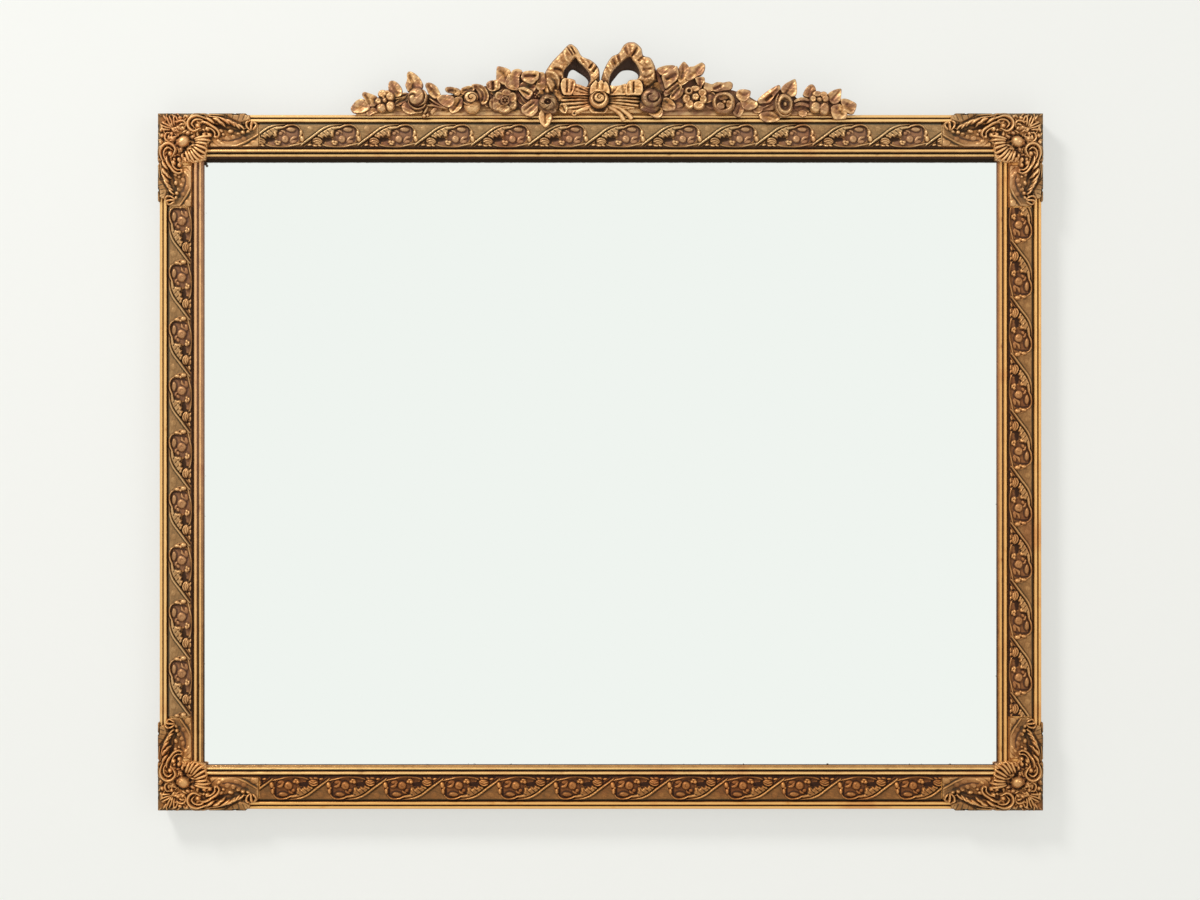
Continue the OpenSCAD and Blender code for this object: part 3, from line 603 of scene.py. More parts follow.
FRIEZE_GAP_RIM = (8.8, -3, 12, -1.2, 17.6, -2.2, 18.8, -4.6, 14, -6.2, 9.8, -6.2)
# middle and size of the ball, how far the pattern is shifted in repeats, and how bright its ground is:
# painted light and shade, lower on the bottom, which faces away from the light
FRIEZE_BALL = ((28.8, -3.4, 4.1), (30.6, -1.4, 5.1), (29.2, -2.6, 4.5), (29.6, -2, 4.7))
FRIEZE_SHIFT = (0.965, 0.25, 0.01, 0.82)
FRIEZE_LIGHT = (0.505, 0.515, 0.455, 0.545)
REPEAT = 60
# half width of a pressed strip, a little narrower than the field it lies in
STRIP = FIELD_W / 2 - 0.1


def frieze_unit(pitch, nx, ny, side, full):
    """Relief of one repeat on a grid of nx by ny points: the leaning stem with its lobed leaf and pod, the
    sunk oval with its ball, berries and half-moon leaf, and the bract that closes it. What lies over one
    end is laid again over the other."""
    y, x = np.meshgrid(np.linspace(-STRIP, STRIP, ny), np.arange(nx) * pitch / nx, indexing="ij")
    whole = Relief(x, y, full)
    bx, by, br = FRIEZE_BALL[side]
    shifted = [(x - shift) * REPEAT / pitch for shift in (-pitch, 0, pitch)]
    for x in shifted:
        whole.x = x
        sunk = smoothstep(polygon_distance(whole.x, y, FRIEZE_OVAL) / 2.2)
        whole.height -= 0.7 * sunk
        whole.rose = np.maximum(whole.rose, sunk)
    for x in shifted:
        whole.x = x
        whole.masses([(FRIEZE_GROUND, 0.30, 2.6, 0.75, 0.1)])
        whole.cuts([
            ((-9, -11, -4, -9, -2.6, -6.4, 0, -2.6, 4, -1.4, 8, -3.2, 9.4, -6.8, 6, -10), 1.3, 0.7, 0.8),
            ((-7, -11.2, 0, -11, 5, -11.2, 14, -12.2, 24, -12.8), 1, 0.5, 0.85),
            ((42.4, 7.4, 42.6, 2, 41.8, -5.4), 0.9, 0.7, 0.8),
        ])
        # the gap under the leaf is sunk and darkened as painted shade
        gap = smoothstep(polygon_distance(whole.x, y, FRIEZE_GAP_RIM) / 1.2 + 0.4)
        whole.height -= 1.2 * gap
        whole.dark = np.maximum(whole.dark, gap)
        whole.domes([
            (-4.6, 7, 5, 4.4, 0, 0.42, 0.7, 0.1), (-5.4, -9.4, 2.4, 1.2, 15, 0.34),
            (0.6, -10.4, 2.6, 1.1, 0, 0.36), (5.2, -10.2, 2.2, 1.2, -20, 0.34),
            (2.8, -5.4, 5.4, 3.6, -12, 0.50, 0.05, 0.15), (34.8, 6.6, 5.2, 2.5, -4, 0.40, 0.3, 0.8),
            (37.4, -6.2, 3.4, 1.9, 12, 0.26, 0, 0.95), (bx, by, br, br * 0.94, 0, 0.60, 0.05, 0.85),
            (24, 2.6, 2.2, 1.8, 20, 0.24, 0, 0.9), (19.4, -6.2, 2.3, 1.8, 20, 0.66, 0, 0.2),
            (22.8, -6.6, 2, 1.7, 0, 0.60, 0, 0.3), (20.8, -8.6, 2.5, 1.3, -10, 0.50, 0, 0.2),
        ])
        whole.strokes([
            ((33.6, -6, 37, -2.2, 41, -1.2), 1.6, 0.34, 0, 0.85),
            ((24.6, 5.6, 27.6, 4.4, 28.8, 2.6), 1.2, 0.24, 0, 0.9),
            ((8, -8.6, 11.8, -10.4, 18, -11.4, 24.5, -11.8, 31, -11.3, 37.3, -9.8, 45.5, -8, 51, -6), 0.85,
             0.46, 0.2, 0.2),
            ((44, 7.4, 47, 4.4, 48.6, 0, 49.2, -4, 51, -6.6), 0.9, 0.40, 0.3, 0.1),
            ((-1.6, -3.8, 2.4, -2.6, 6.6, -3.8), 0.6, 0.62, 0, 0.1),
            ((-2.2, -6.4, 2.6, -5.2, 7.2, -6.8), 0.6, 0.60, 0, 0.1),
        ])
        whole.domes([
            (45.8, 3.2, 2, 3.3, 0, 0.80, 0, 0.1), (46.8, -3.2, 2.6, 3.6, 10, 0.86, 0, 0.1),
            (44.6, -0.2, 1.4, 1.6, 0, 0.56, 0, 0.2),
        ])
        whole.masses([(FRIEZE_LEAF, 0.66, 1.7, 0.55, 0.05)])
        whole.domes([
            (7.4, -0.8, 2.5, 1.4, -40, 0.86), (11.4, 0.4, 2.8, 1.6, -38, 0.92, 0.1),
            (18.6, 1.8, 1.6, 3, 12, 0.96), (15.2, 2.8, 3.2, 1.8, -25, 0.80, 0.5),
        ])
        whole.cuts([
            ((4.6, 1.6, 9.8, -2.4), 0.55, 0.7, 0.6), ((8.8, 3.6, 13.4, -0.8), 0.55, 0.7, 0.6),
            ((13.2, 5.6, 17.2, 1.4), 0.5, 0.6, 0.55), ((17.8, 7, 21.4, 5.8, 27.6, 8), 0.55, 0.7, 0.75),
            ((-1.6, -5.4, 2.6, -4, 7, -5.8), 0.5, 0.4, 0.4),
            ((-0.8, -7.4, 3, -6.2, 6.4, -7.6), 0.5, 0.4, 0.4),
            ((30, 5.2, 33.8, 3.6, 37.8, 3.8, 40.4, 5.8), 0.85, 0.6, 0.85),
            ((bx - 3.6, by - 3.4, bx + 0.4, by - br - 0.6, bx + 3.8, by - 3.2, bx + br + 0.5, by + 0.6), 0.9,
             0.6, 0.7),
            ((bx - 1.4, by + 1.6, bx + 0.8, by + 0.6, bx + 0.4, by - 1.2), 0.55, 0.35, 0.3),
        ])
        whole.strokes([
            (FRIEZE_STEM, 1.4, 0.72, 0.6, 0.05),
            ((19.6, 9.4, 24.5, 8.2, 27.5, 8.8, 31, 10.4, 37, 11.4, 41.5, 10.2, 44.4, 7.6), 1, 0.70, 0.05,
             0.1),
        ])
        whole.cuts([
            ((-12, -10, -7, -6.6, -1.6, -2.6, 3.8, 1.2, 7.4, 3.8, 12, 6.6), 0.6, 0.5, 0.8),
            ((27, 7.2, 30.5, 8.6, 34, 9.6, 38, 9.8, 41.2, 8.4), 0.6, 0.5, 0.65),
            ((-10, -4.4, -4, -0.2, 1.2, 3.6), 0.4, 0.2, 0.25),
        ])
    return whole


def build_frieze(side, sizes, materials):
    """Pressed strip: the repeat tiled along the side, with a slow unevenness, cut square at the corners."""
    long = side % 2 == 0
    arm = ARM_LONG if long else ARM_SHORT
    length = side_length(side) - 2 * arm - 2 * FRIEZE_GAP
    n = sizes.repeats_long if long else sizes.repeats_short
    nx, ny = 126, 58
    unit = frieze_unit(length / n, nx, ny, side, sizes.frieze_relief / MM)
    count = n * nx + 1
    column = (np.arange(count) - int(round(FRIEZE_SHIFT[side] * nx))) % nx
    height, patina, rose, dark = (g[:, column] for g in (unit.height, unit.patina, unit.rose, unit.dark))
    yy, xx = np.meshgrid(
        np.linspace(-STRIP, STRIP, ny), np.linspace(-length / 2, length / 2, count), indexing="ij")
    uneven = 0.16 * wander(xx + 3 * yy, 70 + side, 31) + 0.10 * wander(xx * 0.4 + 9 * yy, 90 + side, 17)
    edge = smoothstep((STRIP - np.abs(yy)) / 1.3)
    # the ground falls to both edges, and what stands over it keeps a third of its height there
    depth = np.where(height < 0.6, height * edge, height * (0.35 + 0.65 * edge))
    depth = np.maximum(FRIEZE_D + depth + uneven * edge, FIELD_D + 0.5)
    top = on_side(side, xx, FIELD_U + FIELD_W / 2 - yy, depth).reshape(-1, 3)
    i, j = np.arange(ny - 1)[:, None], np.arange(count - 1)
    a = i * count + j
    faces = np.stack([a, a + 1, a + count + 1, a + count], -1).reshape(-1, 4)
    # the rim, walked anticlockwise, dropped to the field and closed by one strip across the back
    low, high = np.arange(count), (ny - 1) * count + np.arange(count)
    left, right = np.arange(ny) * count, np.arange(ny) * count + count - 1
    rim = np.concatenate([low, right[1:], high[::-1][1:], left[::-1][1:-1]])
    under = top[rim].copy()
    under[:, 2] = FIELD_D + 0.02
    m, base = len(rim), len(top)
    k = np.arange(m)
    walls = np.stack([rim[(k + 1) % m], rim[k], base + k, base + (k + 1) % m], 1)
    near, far = base + np.arange(count), base + count + ny - 2 + np.arange(count)[::-1]
    back = np.stack([near[1:], near[:-1], far[:-1], far[1:]], 1)
    # the dark of the grooves and the gap takes colour off as painted shade
    relief = relief_of(depth, length / (count - 1), FRIEZE_LIGHT[side], 0.37) - 0.46 * dark
    # the ovals keep one toned brown, and painted shade darkens both edges of the strip, beside the beads
    relief -= 0.42 * rose * (relief - 0.36) + 0.42 * smoothstep((np.abs(yy) - STRIP + 2.2) / 1.5)
    hidden = np.zeros(m)
    make_piece(
        f"frieze_{SIDES[side]}", np.concatenate([top, under]), np.concatenate([faces, walls, back]),
        [materials["frieze"]], [f"{SIDES[side]}_frieze"], {
            "relief": np.append(relief, hidden + 0.1), "patina": np.append(patina, hidden),
            "rose": np.append(rose, hidden) * (1 - 0.8 * RAIL_AGE_AND_SHADE[side]),
            "age_and_shade": np.full(base + m, RAIL_AGE_AND_SHADE[side])})


# ---- corners ----

# Ornament of one arm: a along the arm from the outer corner, b inwards, in millimetres.
CORNER_OUTLINE_ARM = (
    -1, -1, 30, -1.2, 54, -1, 76, -0.4, 90, 0.2, 94, 1.2, 95.4, 6, 99, 6.6, 103.2, 10, 103.6, 14, 99, 18,
    92, 20, 84, 20.6, 66, 24, 54, 24.6,
)
CORNER_FAN_OUTLINE = (54.6, 27, 50.6, 31, 50.4, 36, 49.6, 41, 48.4, 46.4, 42, 49.6, 36, 50.6, 31, 50)
ARM_GROUND = [
    ((66, -1.6, 95, -1.6, 96, 3, 92, 7, 84, 8.4, 76, 5), 0.22, 2, 0.8, 0.1),
    ((92, 18, 99, 14, 106, 10, 106, 18, 98, 22.4, 92, 25), 0.16, 1.6, 0.7, 0.1),
    ((57, 25, 70, 22.6, 86, 21, 93, 23, 84, 31, 70, 33.6, 58, 31.6), 0.12, 2, 0, 0.35),
]
ARM_LUMPS = [
    (63.8, 17, 3, 2.2, 10, 0.42, 0.1, 0.3), (74.2, 17.4, 3.4, 2.2, -10, 0.46, 0.1, 0.2),
    (70.7, 24.8, 3.4, 2.4, 15, 0.46, 0, 0.5), (77, 23.4, 2.8, 2.4, 0, 0.50, 0, 0.3),
    (82.5, 20.6, 2.8, 2.2, 20, 0.56, 0.2, 0.1), (87, 18.6, 2.6, 2.4, 0, 0.60),
    (88, 25.2, 3, 2.6, 30, 0.40, 0, 0.4), (80.4, 28.4, 4.4, 2.2, -10, 0.34, 0, 0.5),
    (61.7, 27.4, 2.8, 1.8, 30, 0.52), (65.6, 30, 3, 1.6, 20, 0.48, 0, 0.2), (58.6, 23.4, 2.2, 1.8, 0, 0.45),
    (66.6, 20.6, 2, 1.6, 0, 0.36, 0, 0.4), (92.6, 17.6, 2.8, 1.8, -20, 0.5), (50.6, 15.6, 2.6, 2.2, 20, 0.66),
    (52.7, 21.1, 2.4, 2.2, 0, 0.66), (47.1, 21.1, 2.6, 2, 0, 0.70), (40.9, 12.1, 2.9, 2.7, 0, 0.92),
    (46.6, 16.2, 2, 1.5, 30, 0.5, 0.3), (99.6, 29.6, 5.2, 3.2, 12, 0.42, 0.05, 0.15),
    (92.6, 32.4, 2.6, 1.3, -10, 0.24), (88.4, 33.2, 2.2, 1.1, 0, 0.2), (29.4, 2.2, 2.6, 1.7, 25, 0.56),
    (22.2, 3.8, 2.4, 2, 0, 0.60), (25.4, 14.4, 2.8, 1.9, 40, 0.52, 0.2),
    (20.1, 13.5, 2.2, 2, 0, 0.50, 0, 0.2), (30.5, 19.4, 3.4, 2.2, -35, 0.62, 0, 0.6),
    (35.6, 23.4, 3.2, 2, -20, 0.60, 0, 0.6), (16.4, 2.4, 2.2, 1.5, 0, 0.52), (34.4, 19.4, 1.8, 1.4, 0, 0.45),
    (43.2, 24.6, 2.6, 1.7, 0, 0.62),
]
ARM_STROKES = [
    ((45, 0.2, 58, 0.4, 68, 1), 1, 0.42, 0.3), ((30.5, 6.6, 34.7, 1, 40.9, -0.4, 51.3, 0), 1.3, 0.62),
    ((43.6, 14.6, 37, 17.6, 31.9, 14.6, 30.4, 9.2, 33, 4.4, 38.8, 1.9, 44.4, 2.8, 50.6, 5.4), 1.7, 0.94),
    ((37.4, 14.4, 34.6, 10.4, 37.4, 6.4, 43, 5.6, 48.8, 8.6), 1.2, 0.74),
    ((44, 8.4, 49, 8.8, 55.5, 12.4, 60.6, 16, 62.6, 20.6, 60.4, 24.6), 1.7, 0.90),
    ((49, 13.4, 54.4, 15.2, 58, 18.8, 57.6, 22.8), 1.2, 0.66), ((49.6, 4.2, 53, 6, 57.6, 9.2), 1.9, 0.94),
    ((56.8, 4.4, 61.6, 6.2, 65.2, 9.6), 1.9, 0.92), ((61.6, 7.6, 66, 9.6, 68.6, 12.6), 1.7, 0.86),
    ((64.8, 4.6, 69.2, 6.6, 73.6, 10.2), 1.7, 0.84), ((70.6, 5.8, 75.6, 8.4, 79, 12.4), 1.7, 0.80),
    ((76.4, 8.2, 80.6, 11, 83.8, 14.8), 1.6, 0.74), ((82.4, 10.6, 86.2, 13, 88.6, 16), 1.4, 0.66),
    ((52, 2.2, 62, 3.4, 72, 6.6, 81.6, 11.4, 88.6, 14.6, 92, 13.6), 1, 0.58),
    ((94.6, 16.4, 91.4, 12.8, 91.2, 8.8, 94.4, 7), 1.4, 0.76),
    ((95.7, 16.4, 95.9, 11.4, 97.2, 7.2), 1.6, 0.84), ((97.4, 16.2, 100.4, 12.8, 101.2, 9.6), 1.4, 0.74),
    ((51.3, 32.9, 58, 34.2, 65.2, 34.6, 79, 32.6, 86, 30), 1.1, 0.26, 0.2, 0.6),
    ((82, 31.4, 89.4, 28.4, 97, 24, 106, 18.6), 1.2, 0.42, 0.5),
    ((18.6, 9, 21.4, 7, 25.4, 6.8, 28.2, 9.8, 27.4, 13.6), 1.2, 0.58),
    ((8.6, 3.4, 10.6, 8.2, 13.4, 13.4), 1.2, 0.62, 0.2), ((10.7, 1.7, 13.2, 7, 14.6, 12.8), 1.1, 0.56, 0.2),
    ((15.6, 2.4, 15.8, 6.4, 16.2, 11.6), 1.1, 0.58, 0.2),
]
ARM_CUTS = [
    ((52, 9.2, 60, 12.2, 68, 14.6, 78, 16.6, 87, 17), 1.1, 0.4, 0.8),
    ((86, 9, 89.4, 13, 90.6, 18), 0.9, 0.4, 0.8), ((66, 26.6, 74, 27, 84, 24.4, 92, 20.6), 1, 0.4, 0.8),
    ((44, 18.6, 50, 18.4, 55.4, 20.6), 1, 0.5, 0.8),
    ((55, 28, 60, 32, 70, 35.6, 82, 34, 92, 28.6), 0.7, 0.3, 0.7), ((26, 37, 25, 42, 21, 44), 2.2, 0.6, 0.9),
    ((80, 33.6, 88, 31.4, 95, 27, 104, 22.2), 1.2, 0.4, 0.9), ((70, 3.4, 71.5, -0.6), 0.5, 0.3, 0.6),
    ((76, 4.4, 78, -0.6), 0.6, 0.3, 0.7), ((82, 6, 84, -0.4), 0.6, 0.3, 0.7),
    ((87, 5.6, 89.6, 0), 0.6, 0.3, 0.7), ((91, 4.4, 93, 0.4), 0.5, 0.3, 0.6),
    ((86, 34.4, 94, 34.2, 104.5, 33.8), 1.2, 0.3, 0.85), ((96.5, 30.6, 100, 28.4, 104, 29), 0.5, 0.3, 0.5),
    ((54, 34, 66, 36, 78, 35.4, 86, 33), 2.2, 0.4, 0.75), ((93.4, 9.6, 93.8, 14.6), 0.5, 0.4, 0.5),
    ((98.4, 9.6, 98, 14.6), 0.5, 0.4, 0.5),
]
FAN_RIBS = [
    (37.4, 25.6, 46, 23.6, 54.2, 22.4), (38.4, 27.2, 46.6, 26.6, 53.6, 27.2),
    (38.6, 29.4, 46.6, 30.2, 52, 31.4), (38, 31.8, 45.6, 34.2, 50.6, 36.4),
    (36.8, 34, 43.8, 38.4, 49.4, 41.2), (35.4, 36, 41.2, 42.4, 47.4, 46.2), (33.4, 37.8, 38, 44.4, 43, 48.6),
    (31, 38.8, 34.6, 45.4, 37.2, 49.6), (28.2, 38.8, 30.6, 45, 32, 49.4),
]
BOSS_AT = (25.4, 28.3)
# dark tint given to each corner by its side (-1 left, 1 right) and height (1 top, -1 bottom)
CORNER_TONE = {(-1, 1): 0.0, (1, 1): 0.2, (-1, -1): 0.12, (1, -1): 0.34}


def corner_relief(a, b, full):
    """Relief of a corner ornament over its plate, a and b inwards from the outer corner: small seeded lumps
    for the pebbled ground, the two arms, which mirror each other across the mitre, the fan and the boss."""
    whole = Relief(a, b, full)
    rng = np.random.default_rng(7)
    lumps = rng.uniform((-0.5, -0.5, 1.8, 0.24, 0, 0.22), (54, 54, 4.2, 0.5, 180, 0.46), (230, 6))
    whole.domes([
        (px, py, rx, rx * ry, turn, share, 0.25 * (turn > 90), 0.3 * (turn < 50))
        for px, py, rx, ry, turn, share in lumps])
    # the tables are drawn for an arm 104 mm long, and what lies beyond 54 mm is drawn in for a shorter one
    for u, v, arm in ((a, b, ARM_LONG), (b, a, ARM_SHORT)):
        whole.x, whole.y = np.where(u > 54, 54 + (u - 54) / ((arm - 54) / 50), u), v
        whole.masses(ARM_GROUND)
        whole.cuts(ARM_CUTS)
        whole.domes(ARM_LUMPS)
        whole.strokes(ARM_STROKES)
    whole.x, whole.y = a, b
    for rib in FAN_RIBS:
        whole.strokes([(rib, 1.75, 0.86), (rib[4:] * 2, 1.5, 0.6)])
        whole.cuts([(rib, 0.42, 0.5, 0.25)])
    # a groove round the boss, darkened as painted shade
    ring = np.hypot((a - BOSS_AT[0]) / 7.2, (b - BOSS_AT[1]) / 6.2)
    whole.height -= 1.4 * bell((ring - 1.1) / 0.16)
    whole.dark = np.maximum(whole.dark, 0.6 * bell((ring - 1.12) / 0.14))
    whole.domes([(*BOSS_AT, 6.9, 5.7, -30, 1.02, 0.1, 0.25), (23.4, 29.2, 3.6, 3.2, 0, 1.12, 0, 0.35)])
    return whole


def build_corner(name, sx, up, sizes, materials):
    """Cast corner: relief over its outline on a fine grid, falling to the moulding outside it, with walls
    and a flat back."""
    cell = 0.45
    na, nb = int(105 / cell) + 1, int(97 / cell) + 1
    b, a = np.meshgrid(-1 + np.arange(nb) * cell, -1 + np.arange(na) * cell, indexing="ij")
    inner, outer = np.minimum(a, b), np.maximum(a, b)
    arm = as_points(CORNER_OUTLINE_ARM)
    other = arm[::-1][:, ::-1] * (1, ARM_SHORT / ARM_LONG)
    edge = polygon_distance(a, b, np.concatenate([arm, as_points(CORNER_FAN_OUTLINE), other[:-1]]))
    modelled = corner_relief(a, b, sizes.corner_relief / MM)
    # the two outer edges of the frame stay covered, and the outline is a little ragged
    edge = np.where((inner < 0.5) & (outer < 90), np.maximum(edge, 0.8), edge)
    edge = edge + 0.30 * np.sin(a * 0.9) * np.sin(b * 0.9) - 0.9 * bell(inner / 1.4) * wander(outer, 23, 31)
    rim = smoothstep((edge + 0.6) / 1.5)
    falloff = smoothstep(np.clip(inner + 1.4, 0, 2.4) / 2.4)
    # the plate follows the moulding under it: lower over the field than over the beads
    over_field = smoothstep((inner - FIELD_U) / 2) * smoothstep((FIELD_U + FIELD_W - inner) / 2)
    over_field = over_field * smoothstep((outer - 48) / 6)
    depth = PLATE_D - PLATE_SINK * over_field
    depth = depth + (modelled.height * (0.45 + 0.55 * rim)) * (0.6 + 0.4 * falloff)
    # how far out along the longer of its two arms each point lies, the short arm drawn out to the long one
    reach = np.maximum(a, b * ARM_LONG / ARM_SHORT)
    covered = over_field * smoothstep((ARM_LONG - 0.4 - reach) / 0.6)
    covered = np.maximum(smoothstep(edge / 0.9 + 0.35), covered)
    floor_d = LEDGE_D + 0.2
    depth = floor_d - 0.6 + (depth - floor_d + 0.6) * covered
    kept = depth > floor_d
    inside = kept[:-1, :-1] | kept[1:, :-1] | kept[:-1, 1:] | kept[1:, 1:]
    depth = np.maximum(depth, floor_d + 0.05)
    i, j = np.nonzero(inside)
    p = i * na + j
    front = np.stack([p, p + 1, p + na + 1, p + na], 1)
    total = na * nb
    # walls along every cell side that has no neighbour
    padded = np.pad(inside, 1)
    walls = []
    for di, dj, first, second in ((-1, 0, 0, 1), (0, 1, 1, 2), (1, 0, 2, 3), (0, -1, 3, 0)):
        bare = ~padded[i + 1 + di, j + 1 + dj]
        f, s = front[bare, first], front[bare, second]
        walls.append(np.stack([s, f, f + total, s + total], 1))
    quads = np.concatenate([front, front[:, ::-1] + total, *walls])
    x, h = sx * (FRAME_W / 2 - a), CENTRE_H + up * (FRAME_H / 2 - b)
    top = np.stack([x, h, depth], -1).reshape(-1, 3)
    under = top.copy()
    under[:, 2] = floor_d
    used, quads = np.unique(quads, return_inverse=True)
    points = np.concatenate([top, under])[used]
    quads = outward(points, quads.reshape(-1, 4))
    outside = bell(np.maximum(inner, 0) / 2.4)
    # towards the tip of each arm the ground sinks into the brown of the strip it lies on
    tip = smoothstep((reach - 58) / 34) * smoothstep((25.4 - depth) / 2)
    # the dark of the grooves takes colour off as painted shade
    relief = relief_of(depth, cell, 0.51, 0.27) - 0.42 * modelled.dark - 0.22 * outside - 0.20 * tip
    grids = {
        "relief": relief, "patina": np.maximum(np.maximum(modelled.patina, 0.9 * outside), 0.4 * tip),
        "rose": modelled.rose, "dark": np.full(a.shape, CORNER_TONE[(sx, up)]),
        # the bottom corners are tinted browner and darker, partly as painted shade
        "age_and_shade": np.full(a.shape, 0.55 if up < 0 else 0.15)}
    make_piece(
        f"cast_{name}", points, quads, [materials["cast"]], [name],
        {key: np.append(grid, np.zeros(total))[used] for key, grid in grids.items()})


# ---- crest pieces ----


def crest(points):
    """(x, height over the frame, depth) to (x, height, depth)."""
    points = np.array(points, float)
    points[..., 1] += FRAME_TOP
    return points


def scored(xy, marks):
    """Height that modelling marks add at points: each is a line with a width and a height, a ridge where
    the height is above zero and a groove where it is below, falling off as a bell across the line."""
    total = np.zeros(xy.shape[:-1])
    for line, width, height in marks:
        line = as_points(line)
        if len(line) > 2:
            line = spline(line, 12)
        dist, share = polyline_distance(xy[..., 0], xy[..., 1], line)
        total += height * bell(dist / width) * smoothstep(np.minimum(share, 1 - share) * 7 + 0.25)
    return total


# how much fuller than its outline a mass is, and its rings from the rim to the middle: size and rise
FULLER = 0.55
FRONT = np.array([1, 1, 0.997, 0.985, 0.965, 0.93, 0.88, 0.81, 0.72, 0.61, 0.50, 0.39, 0.28, 0.18, 0.09])
RISE = np.array([0, 0.55, 0.72, 0.87, 0.96, 1, 1, 0.99, 0.97, 0.96, 0.95, 0.95, 0.95, 0.95, 0.95])


def mass(outline, back, thick, cup=0.0, lean=(0, 0), marks=()):
    """Modelled mass with a smooth closed outline: rings shrink to its middle while they rise steeply at the
    rim, then level; cup sinks the middle, lean tips the face, and marks are scored into it."""
    ring = ring_spline(outline, 72)
    centre = ring.mean(0)
    ring = ring + FULLER * (ring - centre) / np.linalg.norm(ring - centre, axis=1)[:, None]
    xy = centre + (ring - centre)[None] * FRONT[:, None, None]
    level = thick * (RISE - 0.45 * cup * (1 - FRONT**2) * (RISE > 0.9))
    out = level[:, None] + ((xy - centre) @ np.array(lean)) * RISE[:, None] * 3
    inside = smoothstep((1.0 - FRONT) / 0.08)[:, None]
    out = out + 1.3 * scored(xy, marks) * (0.45 + 0.55 * inside) * (RISE > 0.3)[:, None]
    out = np.where(RISE[:, None] > 0, np.maximum(out, 0.25 * thick), 0.0)
    return closed_loft(crest(np.concatenate([xy, (back + out)[..., None]], -1)))


def blade(base, tip, width, back, thick, bend=0.0, blunt=0.5):
    """Leaf as a mass: its outline bows by bend and is fullest at two fifths, with a groove along it."""
    base, tip = np.array(base, float), np.array(tip, float)
    along = tip - base
    across = np.array([-along[1], along[0]]) / np.hypot(*along)
    one, other = (
        [base + along * u + across * (side * v * width / 2 + bend * width * math.sin(math.pi * u))
         for u, v in ((0, 0.25), (0.18, 0.78), (0.42, 1), (0.68, 0.86), (0.88, 0.30 + 0.3 * blunt))]
        for side in (1, -1))
    middle = [base + along * 0.08, base + along * 0.5 + across * bend * width, base + along * 0.9]
    return mass([*one, tip, *other[::-1]], back, thick, 0.08, (0, 0), [(middle, 0.09 * width, -0.9)])


def rod(points, radius, back, height, taper=(0.5, 0.35)):
    """Stem or ridge: half an ellipse carried along a curve on the plane at depth back, thin at its ends."""
    line = spline(points, 26)
    step = np.gradient(line, axis=0)
    step /= np.linalg.norm(step, axis=1)[:, None]
    across = np.stack([-step[:, 1], step[:, 0]], 1)
    t = np.linspace(0, 1, len(line))
    start, end = (1 - np.clip(t / 0.3, 0, 1)) ** 2, np.clip((t - 0.5) / 0.5, 0, 1) ** 2
    k = 1 - (1 - taper[0]) * start - (1 - taper[1]) * end
    a = np.linspace(0, np.pi, 14)
    off = np.cos(a)[None] * (radius * k)[:, None]
    rise = np.sin(a)[None] ** 0.9 * (height * (0.4 + 0.6 * k))[:, None]
    xy = line[:, None] + off[..., None] * across[:, None]
    return closed_loft(crest(np.concatenate([xy, (back + rise + 0.02 * (rise == 0))[..., None]], -1)))


def head(centre, rx, ry, back, face, outline=None, turn=0.0, m=46, n=96):
    """Flower or bud: face(x, y) gives the height over its back for x and y in radii out to 1, the outline
    scales the radius with the angle, and the rim drops straight to the flat back."""
    a = np.linspace(0, 2 * np.pi, n, endpoint=False)
    edge = np.ones(n) if outline is None else outline(a)
    rr, aa = np.meshgrid(np.sin(np.linspace(0.02, 1, m) * np.pi / 2), a, indexing="ij")
    z = np.maximum(face(rr * np.cos(aa), rr * np.sin(aa)), 0.1)
    rim = np.sqrt(np.clip(1 - rr**8, 0, 1))
    t = aa + math.radians(turn)
    px = centre[0] + rx * rr * edge * np.cos(t)
    py = centre[1] + ry * rr * edge * np.sin(t)
    front = np.stack([px, py, back + z * (0.25 + 0.75 * rim)], -1)
    # the flat back needs only every sixth ring
    rear = front[::6].copy()
    rear[..., 2] = back
    return closed_loft(crest(np.concatenate([rear, front[::-1]])))


def scallop(petals, depth, phase=0.0):
    return lambda a: 1 - depth * (1 - np.abs(np.cos(petals * (a + phase) / 2))) ** 1.4


def lump(height, flat=0.0):
    """Rounded petal or bead: height times the square root of (1 - r squared), flattened by a share."""
    return lambda x, y: height * (flat + (1 - flat) * np.sqrt(np.clip(1.02 - x * x - y * y, 0, 1)))


def petal(height, hollow=0.35, grooves=0):
    """Petal that curls up at its rim: a dome sunk in the middle by a hollow share, with radial grooves."""
    def face(x, y):
        r2 = x * x + y * y
        z = np.sqrt(np.clip(1.03 - r2**2, 0, 1)) * (1 - hollow * bell(r2 / 0.45))
        return height * (z - 0.06 * (grooves > 0) * (0.5 + 0.5 * np.cos(grooves * np.arctan2(y,
            x))) * np.sqrt(r2))
    return face


def rolled(height, turns=1.5, off=(0.0, 0.0), groove=0.25, hand=1, fall=0.6):
    """Rolled petals: a dome cut by one spiral groove of constant pitch round a point off its middle, each
    turn higher along its outer lip."""
    def face(x, y):
        u, v = x - off[0], y - off[1]
        phase = np.hypot(u, v) * turns - hand * np.arctan2(v, u) / (2 * np.pi)
        saw = phase - np.floor(phase)
        cut = bell(saw / 0.14) + bell((1 - saw) / 0.08)
        z = np.sqrt(np.clip(1.05 - fall * (x * x + y * y), 0, 1.1))
        return height * (z - groove * cut * smoothstep(np.hypot(u, v) / 0.22) + 0.13 * saw)
    return face


